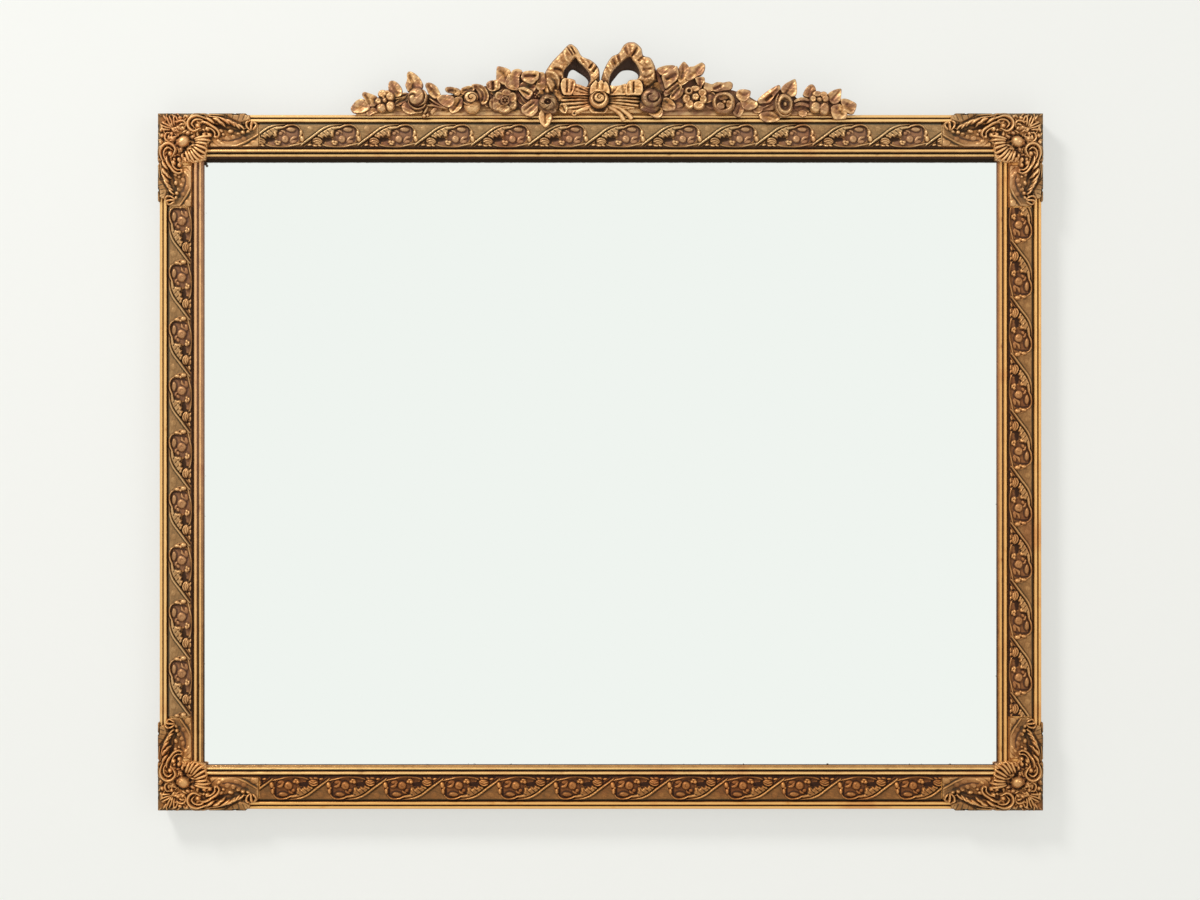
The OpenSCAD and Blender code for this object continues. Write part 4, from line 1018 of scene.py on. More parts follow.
def cupped(height, hole, floor, ball, off=(0.0, 0.0), fall=0.6, petals=0):
    """Cup-shaped flower: a dome with a round well whose floor holds a ball, its lip grooved into petals."""
    def face(x, y):
        u, v = x - off[0], y - off[1]
        q = np.hypot(u, v) / hole
        angle = np.arctan2(v, u)
        z = np.sqrt(np.clip(1.05 - fall * (x * x + y * y), 0, 1.1))
        if petals:
            seam = np.mod(petals * angle / (2 * np.pi) + 0.55 * q, 1)
            z = z - 0.16 * bell(seam / 0.10) * smoothstep((q - 0.9) / 0.4) + 0.06 * seam
        z = z + 0.06 * bell((q - 1.12) / 0.16)
        well = floor + (z - floor) * smoothstep((q - 0.62) / 0.42)
        bead = floor + 0.42 * np.sqrt(np.clip(1 - (q * hole / ball) ** 2, 0, 1))
        return height * np.where(q < 1.06, np.maximum(well, np.where(q * hole < ball, bead, 0)), z)
    return face


class CrestPiece:
    """Parts of one piece of the crest, made into a mesh once the map of the whole crest is complete."""

    def __init__(self, name, replaces, parts, tone=0.0, rose=0.0):
        self.name, self.replaces, self.parts, self.tone, self.rose = name, replaces, parts, tone, rose


# Leaves and folded ribbon of the sprays: outline, thickness, and where they have them, marks, cup, and
# lean across and up.
LEFT_MASSES = [
    ((-258.6, 5.9, -256, 10.4, -252.2, 14.2, -247.7, 15.7, -244.6, 14.2, -241.1, 10.7, -239, 8, -240.4, 4.9,
     -245.3, 2.3, -251.5, 1.4, -256.4, 2.1), 6.4, [((-257.4, 6.2, -248.7, 6.9, -241.1, 8), 2, -0.7)], 0.1,
     (0.02, -0.03)),
    ((-246.5, 19.1, -246.1, 21.5, -244.2, 22.5, -241.1, 21.7, -236.3, 19.9, -232.4, 18.2, -230.7, 15.3,
     -231.1, 11.8, -234.2, 8.8, -238, 8.1, -241.1, 9.4, -243, 12.5, -244.4, 15.9), 7.6, [((-244.9, 20.5,
     -241.1, 15.6, -239, 9), 1.4, -1.1)], 0.16, (0, 0.03)),
    ((-242.1, 0.5, -241.1, 3.5, -238.3, 5.8, -234.9, 6.2, -231.7, 4.5, -231.1, 2.4, -234.2, 1.4, -236.9, 0.5,
     -239, -1.2, -241.1, -1.2), 6),
    ((-219.3, 25.3, -219.5, 30.2, -218.6, 33.3, -215.8, 34.5, -212.7, 33.6, -209.6, 31.2, -206.9, 27.7,
     -205.9, 23.9, -206.4, 19.8, -209.2, 18.2, -213.4, 18.4, -216.8, 20.1, -218.6, 22.5), 7, [((-216.1, 31.2,
     -213.4, 26, -209.9, 20.5), 1.2, -0.8), ((-216.8, 24.6, -213.4, 29.5), 1, 0.6)], 0.2, (0, -0.03)),
    ((-215.1, 17, -213.4, 19.4, -207.8, 20.8, -202.3, 22.2, -198.8, 21.1, -201.6, 18.2, -207.1, 16.8,
     -212, 15.5), 6.6, [((-213.4, 17.7, -206.4, 18.9, -200.9, 20.1), 1, -1)]),
    ((-213.7, 10.1, -211.3, 13.4, -206.4, 15.8, -201.6, 17.3, -198.8, 17, -200.5, 13.9, -205.1, 11.8,
     -208.9, 9.2, -212.3, 8.8), 6.2, [((-212, 10.7, -206.4, 13.5, -200.9, 15.9), 1, -0.8)], 0.05),
    ((-201.9, 30.2, -201, 32.9, -200.1, 36.4, -200.5, 40.6, -199.5, 43.3, -196.7, 43.9, -192.6, 41.8,
     -188.4, 37.9, -185.8, 34.3, -184.4, 30.2, -186, 26.3, -191.2, 25.3, -195.3, 24.6, -198.8, 23.6,
     -200.5, 26), 7.4, [((-198.5, 41.9, -195.7, 34.3, -193.3, 26.7), 1.6, -1.6), ((-197.4, 31.9,
     -194.3, 32.9), 2.2, 1), ((-189.8, 35.7, -187.7, 30.2), 1.4, -0.6)], 0.14, (0.02, -0.02)),
    ((-181.3, 29.1, -180.4, 31.9, -177.3, 32.4, -173.9, 31.2, -170.2, 28.4, -167.8, 24.6, -166.2, 20.5,
     -167.5, 18, -171.1, 16.4, -173.9, 17.5, -177.5, 21, -179.5, 25.2), 6.6, [((-179.4, 30.2, -173.9, 23.9,
     -169, 18.4), 1.3, -1.1), ((-176.6, 28.8, -171.8, 26), 1.2, 0.7)], 0.2),
    ((-205.9, 7.6, -204.4, 10.6, -201.7, 12.1, -198.8, 9.4, -194.7, 5.3, -189.8, 3.5, -184.9, 4.4,
     -185.6, 1.7, -191.9, 0.9, -196.7, 0.2, -200.9, 1.2, -204.4, 3.7), 7.4, [((-204.4, 8, -198.1, 4.5,
     -192.6, 2.4), 1.6, 0.8)], 0.05, (0, -0.03)),
    ((-160.7, 25.3, -159.3, 27.5, -155.1, 27.9, -151, 26.8, -147.2, 25.2, -145.4, 21.8, -147.5, 19.6,
     -151.7, 21.5, -155.1, 22.4, -158.3, 22.9), 7.6, [((-158.6, 23.6, -154.4, 24.8, -149.6, 22.9), 1.5, -2)],
     0, (0, 0.05)),
    ((-169, 15.9, -166.2, 19.1, -160.7, 19.9, -154.8, 19.1, -151.7, 16.3, -151.7, 12.1, -154.1, 8.3,
     -157.9, 7.1, -162.8, 9, -166.4, 11.8), 7.2, [((-166.9, 14.2, -160.7, 14.2, -155.1, 10.7), 2, -0.5)],
     0.12, (0, -0.05)),
    ((-155.1, 2.4, -156.7, 5.2, -154.4, 9, -152.4, 13.5, -149.6, 17, -145.8, 17.7, -143, 15.6, -143, 10.7,
     -144.7, 6.6, -148.9, 2.8, -153.1, 0.9), 6.6, [((-153.7, 3.1, -148.2, 9.4, -144.7, 15.6), 1.1, -1.2)],
     0.16, (-0.02, 0)),
    ((-151.3, 26.6, -148, 26.5, -145.4, 24.2, -142.8, 21.1, -144, 18.7, -147.7, 19.3, -151.3, 21.1), 6,
     [((-150.7, 24.8, -146.5, 22.4), 1.2, -0.8)], 0.05),
    ((-145, 23.6, -143.4, 26.6, -139.2, 28.4, -135.4, 29, -132, 27.9, -130.7, 25.4, -133.1, 22.7,
     -137.4, 20.8, -141.6, 20.2, -144.3, 21.5), 7.2, [((-143.4, 23.6, -137.4, 25.4, -131.9, 26.6), 1.2, -0.9),
     ((-142.2, 22.1, -136.2, 23.3), 1, 0.5)], 0.08),
    ((-133.4, 30.1, -127.7, 31, -122.2, 29.3, -118.3, 25.1, -116, 19.3, -116.4, 15.1, -118.6, 11.4,
     -122.2, 10.2, -125.2, 12.7, -124.6, 17.5, -127.1, 23.6, -130.7, 27.2), 7.6, [((-131.9, 29, -124.6, 24.8,
     -121.6, 18.7, -123.4, 12.7), 1.3, -1.8), ((-127.1, 29.6, -120.4, 24.2, -118.6, 17.5, -121, 11.4), 1.1,
     -1.4)], 0, (0.02, 0)),
    ((-107.5, 35.1, -107.6, 40.6, -107.3, 47.2, -106.1, 49.2, -102.8, 48.9, -97.9, 47.4, -94, 45.1,
     -93.4, 41.2, -94, 36.9, -95.8, 33.3, -97.9, 30.6, -101.6, 31.2, -105.5, 33.9), 7.8, [((-105.2, 45.4,
     -101, 43, -96.7, 35.1), 1.6, -0.9)], 0.12, (0, -0.03)),
    ((-94, 35.1, -93.1, 40.6, -91.6, 43.9, -88.8, 45.9, -85.2, 46.5, -81.6, 44.8, -81.6, 42.4, -83.9, 40,
     -84.6, 36.3, -84.3, 32.1, -84.6, 27.8, -87, 25.9, -90.7, 27.2, -93.4, 30.2), 8, [((-87.6, 44.8,
     -88.2, 36.9, -87, 28.4), 2.2, -0.7)], 0.1, (-0.02, 0)),
    ((-95.2, 40.9, -93.4, 40.6, -94.6, 37.5, -96.4, 33.3, -96.7, 30.2, -94.3, 28.4, -90, 26.9, -85.8, 26.3,
     -86.1, 24.8, -91.3, 24.9, -95.8, 26.6, -98.4, 29.3, -98.7, 32.4, -97, 36.3), 8.8),
    ((-81.9, 37.5, -80.9, 41.7, -77.9, 43.7, -71.2, 44.3, -64.4, 43.6, -64, 40.6, -64.7, 36.2, -67.3, 34.2,
     -70, 31.3, -74.9, 32.1, -79.7, 34.2), 9.4, [((-79.7, 39.2, -71.8, 39.2, -66.4, 39.7), 1.2, -2),
     ((-80.3, 35.1, -74.3, 34.2, -67, 35.7), 1.5, 0.8), ((-79.7, 41.8, -66.4, 42.1), 1.3, 0.5)], 0,
     (0, 0.02)),
    ((-84.6, 29.6, -79.7, 32.8, -72.5, 31, -66.4, 29.6, -67.9, 25.4, -70.3, 23.3, -76.1, 25.7, -81.6, 26.9),
     6.4, [((-81.6, 29, -68.8, 27.8), 1.2, -0.8)]),
    ((-84.9, 26, -80.3, 27.5, -74.8, 25.4, -70.3, 22.4, -72.2, 18, -75, 15.4, -78.5, 17.4, -81.9, 21.1), 8.8,
     [((-82.8, 25.4, -77.3, 22.4, -73.1, 19.3), 1.2, -1.2), ((-83.4, 26, -72.5, 22.1), 1.1, 0.7)]),
    ((-88.2, 24.5, -85.8, 24.2, -82.8, 18.7, -79.1, 13.3, -76.1, 10.2, -77.3, 7.2, -81.6, 10.2, -84.9, 13.3,
     -87, 18.7), 6.6, [((-86.7, 23, -83.4, 15.7, -78.5, 9.6), 1.1, -1.4)]),
    ((-64, 40.9, -63.2, 43.1, -58.5, 42.5, -57.6, 36.9, -56, 33.3, -56.6, 28.4, -60.3, 25.3, -65.2, 25.9,
     -66.5, 29.6, -65.1, 33.9), 6.4, [((-64.6, 30.9, -60.3, 32.1, -56.7, 30.9), 1.2, 0.8)], 0.1),
    ((-118, 30.9, -114.9, 33.9, -111, 34.6, -106.1, 35.2, -104.3, 33.2, -104.7, 26.6, -108.6, 24.5,
     -113.1, 23.9, -116, 25.5), 8, [((-111.6, 34.2, -111.2, 24.8), 1, -2.6), ((-114.2, 32.7, -114.2, 26), 1.6,
     1), ((-107.5, 33.9, -107.5, 26), 1.6, 1), ((-116.7, 30.9, -115.8, 26.6), 1, -1.2)]),
    ((-113.7, 23.3, -105.2, 24.8, -97.9, 26.6, -91.3, 24.8, -93.1, 22.4, -99.1, 23.6, -106.4, 22.1,
     -111.3, 19.9), 5.6),
    ((-82, 5.7, -79.9, 8.9, -76.1, 11.4, -72.5, 14.5, -67.3, 15.4, -64, 13.9, -64, 9, -65.7, 2.9, -68.1, 0.2,
     -71.2, -2.2, -76.1, -1.6, -80.3, 0.8), 7.4, [((-79.7, 3.6, -67.6, 12.7), 1.1, -1), ((-76.1, 0.5,
     -65.8, 10.2), 1, -0.8), ((-77.9, 7.8, -70.6, 13.3), 1, 0.5), ((-72.5, -0.7, -65.2, 6.6), 1, 0.5)], 0.08,
     (0, -0.03)),
    ((-63.1, -1.3, -60.3, -0.2, -56.7, -1.3, -51.8, -1, -50.1, -3.1, -51.8, -7.4, -56.7, -13.1, -60.3, -8,
     -62.6, -4.3), 6.4, [((-56.7, -1.9, -56.7, -11.6), 1.6, -0.7)]),
]
RIGHT_MASSES = [
    ((57.5, 44.7, 59.3, 45.6, 60.8, 41.1, 64.5, 30.8, 66.6, 25.3, 64.5, 24.1, 61.7, 29.6, 58.7, 39.3), 6),
    ((58.7, 46.4, 64.5, 49, 73, 50.3, 76.9, 49.3, 72.1, 45.2, 65.2, 40.8, 61.4, 41.4), 9, [((60.2, 45.6,
     71.8, 48.4), 1.6, -0.5)]),
    ((64.5, 40.4, 71.8, 44.8, 78.6, 49.3, 80.3, 45.3, 80.6, 39.3, 78.7, 35.5, 75.5, 32.5, 70.5, 28.2,
     67.2, 26.2, 65.6, 31.4, 64.2, 36.2), 9.6, [((66.3, 38.7, 73.6, 42.6, 79.3, 45), 1.7, 1.2), ((67.5, 35,
     74.2, 38.7, 79, 41.1), 1.8, -1.4), ((64.5, 41.7, 73, 47.1, 77.2, 49.6), 1, -1.6)], 0, (-0.02, 0.02)),
    ((65.7, 21.1, 66.9, 23.8, 73, 28.9, 80.3, 33.8, 82.6, 35, 82.7, 31.7, 79, 27.1, 74.8, 23.5, 69.9, 19.8,
     66.9, 18.6), 7, [((67.2, 22, 73.6, 27.1, 80.9, 32.6), 1.2, 1), ((69.3, 20.5, 74.8, 24.7, 82.1, 30.8),
     1.2, -1)]),
    ((72.4, 16.8, 73, 19.8, 77.8, 25.3, 82.7, 29.6, 84.2, 27.7, 82.1, 22.9, 77.8, 18, 74.8, 15.3), 6.6,
     [((73.6, 18, 79, 23.5, 82.7, 27.7), 1, -1.3)]),
    ((75.7, 15.9, 78.4, 19.8, 82.1, 24.1, 85.1, 26.8, 86.3, 24.7, 84.5, 20.5, 80.9, 16.8, 77.2, 14.4), 6.2,
     [((77.2, 16.8, 82.7, 22.3), 1, 0.6)]),
    ((80.4, 41.1, 80.7, 45.9, 82.7, 50.2, 86.3, 54.1, 89, 52, 91.3, 48.8, 91.1, 44.7, 88.9, 40.5, 88.1, 36.2,
     85.4, 33.8, 82.7, 32.3, 80.7, 34.7), 7.6, [((86, 52.6, 85.7, 44.1, 83.9, 35.6), 1.5, -1)], 0.14,
     (0, -0.02)),
    ((81.2, 32.6, 85.1, 35, 89, 37.4, 92.7, 35.3, 88.7, 32.6, 85.1, 30.2, 82.1, 29.6), 7.2, [((82.7, 31.7,
     88.7, 35), 1.2, 0.8)]),
    ((88.7, 38.7, 91.1, 44.1, 91.7, 48.5, 96.6, 49.1, 100.9, 51.5, 104.6, 53.3, 107.4, 51.7, 108.2, 48.7,
     107.2, 44.4, 104.5, 40.8, 99.7, 39, 96, 36.5, 92.4, 34.7, 89.2, 35.6), 7.6, [((106, 51.7, 99.7, 44.7,
     91.8, 37.4), 1.6, -0.9), ((99.7, 41.7, 104.5, 40.5, 106.9, 42.3), 1.3, 1)], 0.12, (0, -0.02)),
    ((98.6, 36.8, 102.7, 37.9, 107.1, 37.6, 107.6, 33.5, 105.2, 29.6, 103.6, 26.2, 101.4, 29.9, 99.5, 33.5),
     8.8, [((103, 36.8, 103.6, 27.7), 1.3, -0.9)], 0.05),
    ((107.2, 20.3, 111.8, 22.4, 116.7, 21.8, 119.4, 18.6, 118.8, 15.3, 114.2, 12.7, 110, 11.7, 107.9, 15.3),
     8, [((109.4, 20.5, 114.2, 21.4, 117.9, 18), 1.3, -1.4)], 0, (0, -0.04)),
    ((107.6, 32.6, 111.8, 32, 116, 30.8, 120.9, 32.9, 127, 32.6, 133.6, 33.7, 136.7, 31.4, 136.1, 27.1,
     132.7, 25, 127, 24.4, 121.5, 23.2, 116, 24.1, 110.6, 22.6, 107.2, 25.3), 6.8, [((116.7, 26.2,
     122.1, 27.7, 125.8, 30.2), 1.2, -1.8), ((120.3, 25.3, 131.2, 28.9), 1.4, 0.7)]),
    ((137.6, 1.6, 139.1, 5.3, 140.9, 8.9, 142.7, 11.5, 146.7, 10.7, 148.7, 6.5, 147.3, 2, 144.9, -2.3,
     140.9, -1.9), 6.8, [((140.9, -0.2, 144.6, 8.9), 1.1, -0.9)], 0.05),
    ((64.4, 14.1, 68.1, 16.9, 72.4, 15.1, 76.1, 11.4, 77.7, 7.4, 76.1, 4.4, 72.4, 3.8, 67.5, 3.8, 64.4, 5.8),
     7.2, [((66.3, 14.4, 70.5, 10.7, 76, 7.1), 1.2, -0.8)], 0.06, (0, -0.04)),
    ((50.8, 1.6, 54.2, 4.2, 59.6, 6, 63.9, 9.8, 64.4, 4.7, 63.6, -1.4, 60.2, -3.5, 55.4, -2.9, 52.2, -0.8),
     7.4, [((53, 1, 58.4, 1.6, 63.3, 4.7), 1.4, -0.7)], 0, (0, -0.03)),
    ((140.9, 21.7, 143.3, 24.7, 148.8, 25.4, 154.9, 24.1, 154.9, 19.8, 153.1, 16.2, 149.4, 13.5, 144.6, 14.4,
     141.5, 17.4), 6.8, [((142.7, 22.9, 148.8, 19.8, 153.1, 21.7), 1.2, -0.8)], 0.14, (0, -0.02)),
    ((145.1, 16.5, 149.3, 15.1, 153.9, 16.2, 157.8, 13.7, 162.4, 11.6, 162.4, 8.6, 159.2, 5.8, 154.2, 4.4,
     150, 5.1, 146.8, 8.1), 7.2, [((149.3, 11.6, 157.8, 10.9), 1.6, -0.6)], 0, (0, -0.06)),
    ((163.5, 13.4, 164.1, 16.2, 168.3, 20, 175.4, 25, 181.7, 28.9, 185.4, 29.8, 186, 25.5, 181.9, 21.1,
     178.4, 16.5, 175, 12.2, 169.4, 11.6, 165.2, 11.2), 6.8, [((165.2, 14.4, 173.3, 20, 184.6, 28.2), 1.5,
     1.2), ((170.5, 13.7, 178.2, 20), 1.8, -1.6)], 0, (0, 0.02)),
    ((187.2, 25, 190.2, 29.9, 195.8, 33.6, 201.3, 36.1, 202.9, 32.7, 203.2, 27.1, 202.7, 20.4, 199, 18.3,
     193.7, 18.8, 190.1, 21.1), 7, [((200.8, 34.5, 195.8, 27.1, 191.6, 21.5), 1.4, -0.9)], 0.16, (0, -0.02)),
    ((164.7, -1.1, 168.3, 1.6, 175.4, 2.3, 182.4, -0.3, 185.8, -3.9, 182.8, -7.1, 176.1, -7.8, 170.5, -7.4,
     166.8, -5), 6.2, [((167.6, -1.8, 176.1, -1.8, 183.1, -4.6), 1.4, -0.9)], 0, (0, -0.04)),
    ((158.5, 7.4, 163.4, 8.4, 168.3, 6.7, 166.2, 2.4, 160.6, 1.7, 158.5, 4.2), 5.6),
    ((210.5, 20.4, 212.6, 25.5, 216.1, 29.6, 219.7, 30.5, 222.3, 27.8, 223, 23.6, 221.6, 19.2, 217, 17.6,
     212.8, 18.1), 6.6, [((218.4, 28.9, 217, 23.6, 214.9, 19.3), 1.2, -0.7)], 0.16, (0, -0.02)),
    ((236.2, 20.6, 240.2, 23.7, 245.9, 25.8, 249.4, 25.5, 249.1, 20.4, 248.3, 14.8, 243.9, 11, 239.5, 11.7,
     236.6, 15.5), 7.2, [((248.3, 24.6, 243.8, 19.3, 239.5, 13.7), 1.3, -0.9)], 0.12),
    ((249.3, 14.4, 254.3, 15.7, 260.8, 13.1, 264.9, 10.2, 263.9, 4.4, 261.5, 0.7, 256.5, 1.4, 252.1, 6.3), 7,
     [((255, 11.6, 257.9, 6.7, 260.7, 2.4), 2.2, -1.3), ((252.2, 14.4, 262.8, 9.5), 1.2, 0.5)], 0.12,
     (0, -0.02)),
    ((239.2, 6.7, 243.8, 9.6, 248.8, 9.6, 253.1, 5.2, 255.4, 0.7, 254.3, -3.9, 248.1, -5.2, 242.4, -4.6,
     239.5, 0.7), 7.2, [((243.8, 6.7, 248.7, 2.4, 252.2, -1.8), 1.6, -0.9), ((245.2, 3.1, 249.4, 5.2), 1.2,
     0.7)], 0.06, (0, -0.03)),
    ((200.8, 13.7, 205, 16.2, 210.6, 16.9, 216.6, 15.3, 216.3, 13.4, 210.6, 14.4, 205.7, 13.7, 201.5, 12.2),
     7.2),
    ((200.8, 9.8, 205.7, 11.6, 211.3, 11.2, 216.4, 8.8, 215.9, 7, 211, 8.8, 205.7, 9.1, 201.3, 8.1), 6.8),
    ((205.7, 2.4, 208.9, 3.8, 212.8, 2.4, 213.8, -0.4, 210.6, -2.2, 206.8, -1.1), 5.8),
]
LEFT_GROUND = (
    -254, -0.9, -62, -0.9, -57, 14, -58, 39, -66, 41.5, -80, 41, -86, 43, -102, 44, -105, 37, -113, 31,
    -132, 27.5, -141, 25, -149, 21.5, -158, 20.5, -166, 15, -176, 21, -196, 22, -204, 17, -213, 22, -232, 16,
    -240, 14, -252, 10,
)
RIGHT_GROUND = (
    62, -0.9, 254, -0.9, 256, 8, 249.5, 15, 240, 16, 228, 19, 214, 18, 204, 17, 195, 25.5, 184, 26, 177, 18,
    172, 12, 164, 13, 154, 19, 142, 24, 128, 28, 112, 32, 103, 37, 98, 40, 88, 42, 80, 44, 68, 46, 55, 43,
    54, 14,
)


def slab(outline, back, thick):
    """Low ground of a spray: the outline at its back, drawn in a little towards its rounded front edge."""
    ring = as_points(outline)
    dense = []
    for a, b in zip(ring, np.roll(ring, -1, 0)):
        k = max(2, int(np.hypot(*(b - a)) / 4))
        dense.append(a + (b - a) * (np.arange(k) / k)[:, None])
    ring = np.concatenate(dense)
    spine = np.stack([ring[:, 0] * 0.985, np.full(len(ring), ring[:, 1].min() + 4.0)], 1)
    rings = []
    for depth, inset in ((0, 0.96), (0, 0.0), (0.5, 0.0), (0.85, 0.02), (1, 0.07), (1.02, 0.35), (1.0, 0.7),
                         (1.0, 0.96)):
        p = spine + (ring - spine) * (1 - inset)
        rings.append(np.concatenate([p, np.full((len(p), 1), back + thick * depth)], 1))
    return closed_loft(crest(np.stack(rings)))


def spray(ground, table):
    """Parts of a spray: its ground and the leaves and folds on it."""
    def leaf(outline, thick, marks=(), cup=0, lean=(0, 0)):
        return mass(outline, SPRAY_D, thick, 0.6 * cup, lean, marks)
    return [slab(ground, SPRAY_D, 3.0), *(leaf(*row) for row in table)]


def flower_heads():
    """Parts of the ten flower heads by CAD node, with the darkness and redness of their glaze."""
    base = FLOWER_D

    def petals(table, height, hollow):
        return [
            head((x, h), 1.14 * rx, 1.14 * ry, base, petal(height + dh, hollow, 5), turn=turn, m=18, n=44)
            for x, h, rx, ry, turn, dh in table]

    return {
        "blossom_left": (0.05, 0.3, [
            head((-223, 12.2), 8.8, 8.6, base, lump(2.6, 0.6)),
            *petals([(-225.5, 20.6, 4.6, 4, 20, 0), (-218, 17.6, 4.2, 4.6, -20, 0.4),
                     (-229.8, 12.9, 3.3, 3.2, 0, 0.3), (-226.6, 6.3, 4.7, 4.3, 30, -0.3),
                     (-217.6, 8, 4.3, 5, -15, 0.8), (-221, 21.6, 3.4, 2.8, 0, -1.2)], 6.6, 0.12),
            head((-223.2, 13.8), 3.1, 3.3, base, lump(8.3), m=18, n=40),
            head((-224.6, 16.6), 2, 1.8, base, lump(7.4), m=12, n=28)]),
        "rosebud_left": (0.30, 0.5, [
            head((-189.4, 17), 10.4, 10.2, base, rolled(8.6, 0.95, (-0.36, 0.02), 0.34, 1, 0.55),
                 scallop(2, 0.03), 10),
            head((-193.3, 17), 3.2, 3.2, base + 4.4, lump(3.6), m=16, n=36),
            rod((-199, 14.5, -197.4, 9, -191, 5, -184.2, 6.2, -180.6, 10.4), 1.2, base, 6.4, (0.6, 0.5))]),
        "cupped_rose_left": (0.10, 0.15, [
            head((-132.9, 8.6), 8.6, 8.8, base, lump(7.4, 0.25)),
            head((-133.8, 16.4), 7.4, 6.6, base, rolled(9.2, 1.6, (0.06, -0.04), 0.30, -1, 0.35),
                 scallop(3, 0.05), 30),
            rod((-141.6, 12, -137.6, 8.6, -131.6, 7.8, -126.2, 10.4), 1.1, base, 8.2, (0.5, 0.5))]),
        "open_rose_left": (0.42, 0.45, [
            head((-99.8, 13.3), 12.6, 12.4, base, lump(3, 0.6), scallop(7, 0.06)),
            *petals([(-104.7, 18.2, 4.8, 4.6, 30, 0.5), (-97.4, 21.4, 5, 3.9, -10, 0.3),
                     (-91, 16.6, 4.4, 5.4, 10, 0), (-90.9, 10, 4.2, 5, -20, -0.8),
                     (-99.6, 5.2, 6.6, 4.4, 5, 0.6), (-107.2, 7.6, 5, 4.6, 40, 0.2),
                     (-111.6, 10.6, 3.6, 5.2, 15, -1.8), (-108.4, 13.6, 3.6, 4.4, 0, -0.4)], 6.2, 0.34),
            head((-98.6, 13.2), 5.2, 5.2, base, cupped(7.4, 0.7, 0.55, 0.30, fall=0.4), m=24, n=60),
            *[head(
                (-98.6 + 2.7 * math.cos(t), 13.2 + 2.7 * math.sin(t)), 1.15, 1.15, base + 3.6, lump(2.9),
                m=8, n=18) for t in np.arange(6) * 1.047]]),
        "inner_rose_left": (0.80, 0.5, [
            head((-53.8, 9), 10.6, 9.4, base, lump(5.6, 0.3)),
            head((-54.2, 11.6), 9.6, 8.4, base, cupped(9, 0.42, 0.42, 0.16, (0, 0.05), 0.45, 5),
                 scallop(5, 0.05), 40),
            head((-49.4, 3.2), 4.4, 3.6, base, petal(5.6, 0.2), turn=30, m=16, n=36)]),
        "inner_rose_right": (0.80, 0.75, [
            head((51.4, 9.4), 10.8, 9, base, lump(5.4, 0.3)),
            head((52.6, 15.6), 10.8, 10.4, base, rolled(8.4, 1.35, (0.08, 0.18), 0.30, 1, 0.5),
                 scallop(3, 0.05), 15),
            head((54, 18.2), 3.4, 2.8, base + 3.8, lump(4.8), m=14, n=30),
            head((45.6, 5.6), 4.6, 4, base, petal(5.4, 0.2), turn=-30, m=16, n=36)]),
        "open_rose_right": (0.10, 0.25, [
            head((98.2, 17), 10.2, 10.2, base, lump(2.8, 0.6), scallop(5, 0.08)),
            head((91.6, 23.4), 4.5, 4.3, base, cupped(6.8, 0.5, 0.3, 0.05, fall=0.3), m=22, n=48),
            *petals([(98, 25.8, 5, 3, 10, 0.2), (105.4, 21.4, 4.4, 4.2, -30, 0),
                     (106.4, 14.8, 3.8, 4.6, 10, 0.2), (101.8, 8.8, 5.8, 4.2, 25, 0.9),
                     (92.4, 9.8, 4.4, 4.4, -30, 0), (89.2, 15.6, 3.8, 4.6, 0, 0.2)], 6.2, 0.30),
            head((98.4, 17.3), 4.4, 4.4, base, petal(8.6, 0.16, 5), scallop(5, 0.16), m=24, n=60)]),
        "cupped_rose_right": (0.50, 0.45, [
            head((127.6, 11), 12.2, 12, base, cupped(8, 0.72, 0.30, 0.05, (0, 0.08), 0.45, 3),
                 scallop(4, 0.04), 50),
            head((127, 16.6), 6.8, 3.6, base, petal(6, 0.25), turn=5, m=18, n=40),
            head((124.2, 7.6), 5.4, 4.6, base, petal(9, 0.2), turn=-15, m=18, n=40),
            head((133, 9.4), 4.4, 5.2, base, petal(8.8, 0.2), turn=20, m=18, n=40),
            head((128.2, 11.8), 2.8, 2.6, base, lump(9.2), m=12, n=28)]),
        "rosebud_right": (0.45, 0.35, [
            head((190.2, 8.9), 9.3, 12, base, cupped(8.4, 0.66, 0.50, 0.20, (0.10, 0.06), 0.5),
                 scallop(2, 0.04, 0.4)),
            rod((184.4, 20.2, 181.8, 13.6, 182, 6, 186, -1, 192.4, -2.6, 197.4, 1), 1.3, base, 7.4,
                (0.6, 0.6)),
            rod((186.2, 14, 190, 17, 195, 14), 1.1, base, 7.4, (0.5, 0.5))]),
        "blossom_right": (0.35, 0.45, [
            head((226.4, 11.4), 9.6, 10.6, base, lump(2.4, 0.6)),
            *petals([(224.4, 20.4, 4.8, 3.2, 10, -0.4), (231, 19.6, 4, 3.4, -20, -0.4),
                     (220.2, 15.4, 3.3, 3.5, 0, 0), (232.6, 15.6, 3.6, 3.6, 0, 0),
                     (222.8, 6.8, 5.4, 5.4, 20, 0.4), (231.6, 5.4, 5, 6.2, -10, 0)], 5.8, 0.14),
            head((226.6, 14.6), 3.4, 3, base, lump(7.6), m=16, n=36)]),
    }


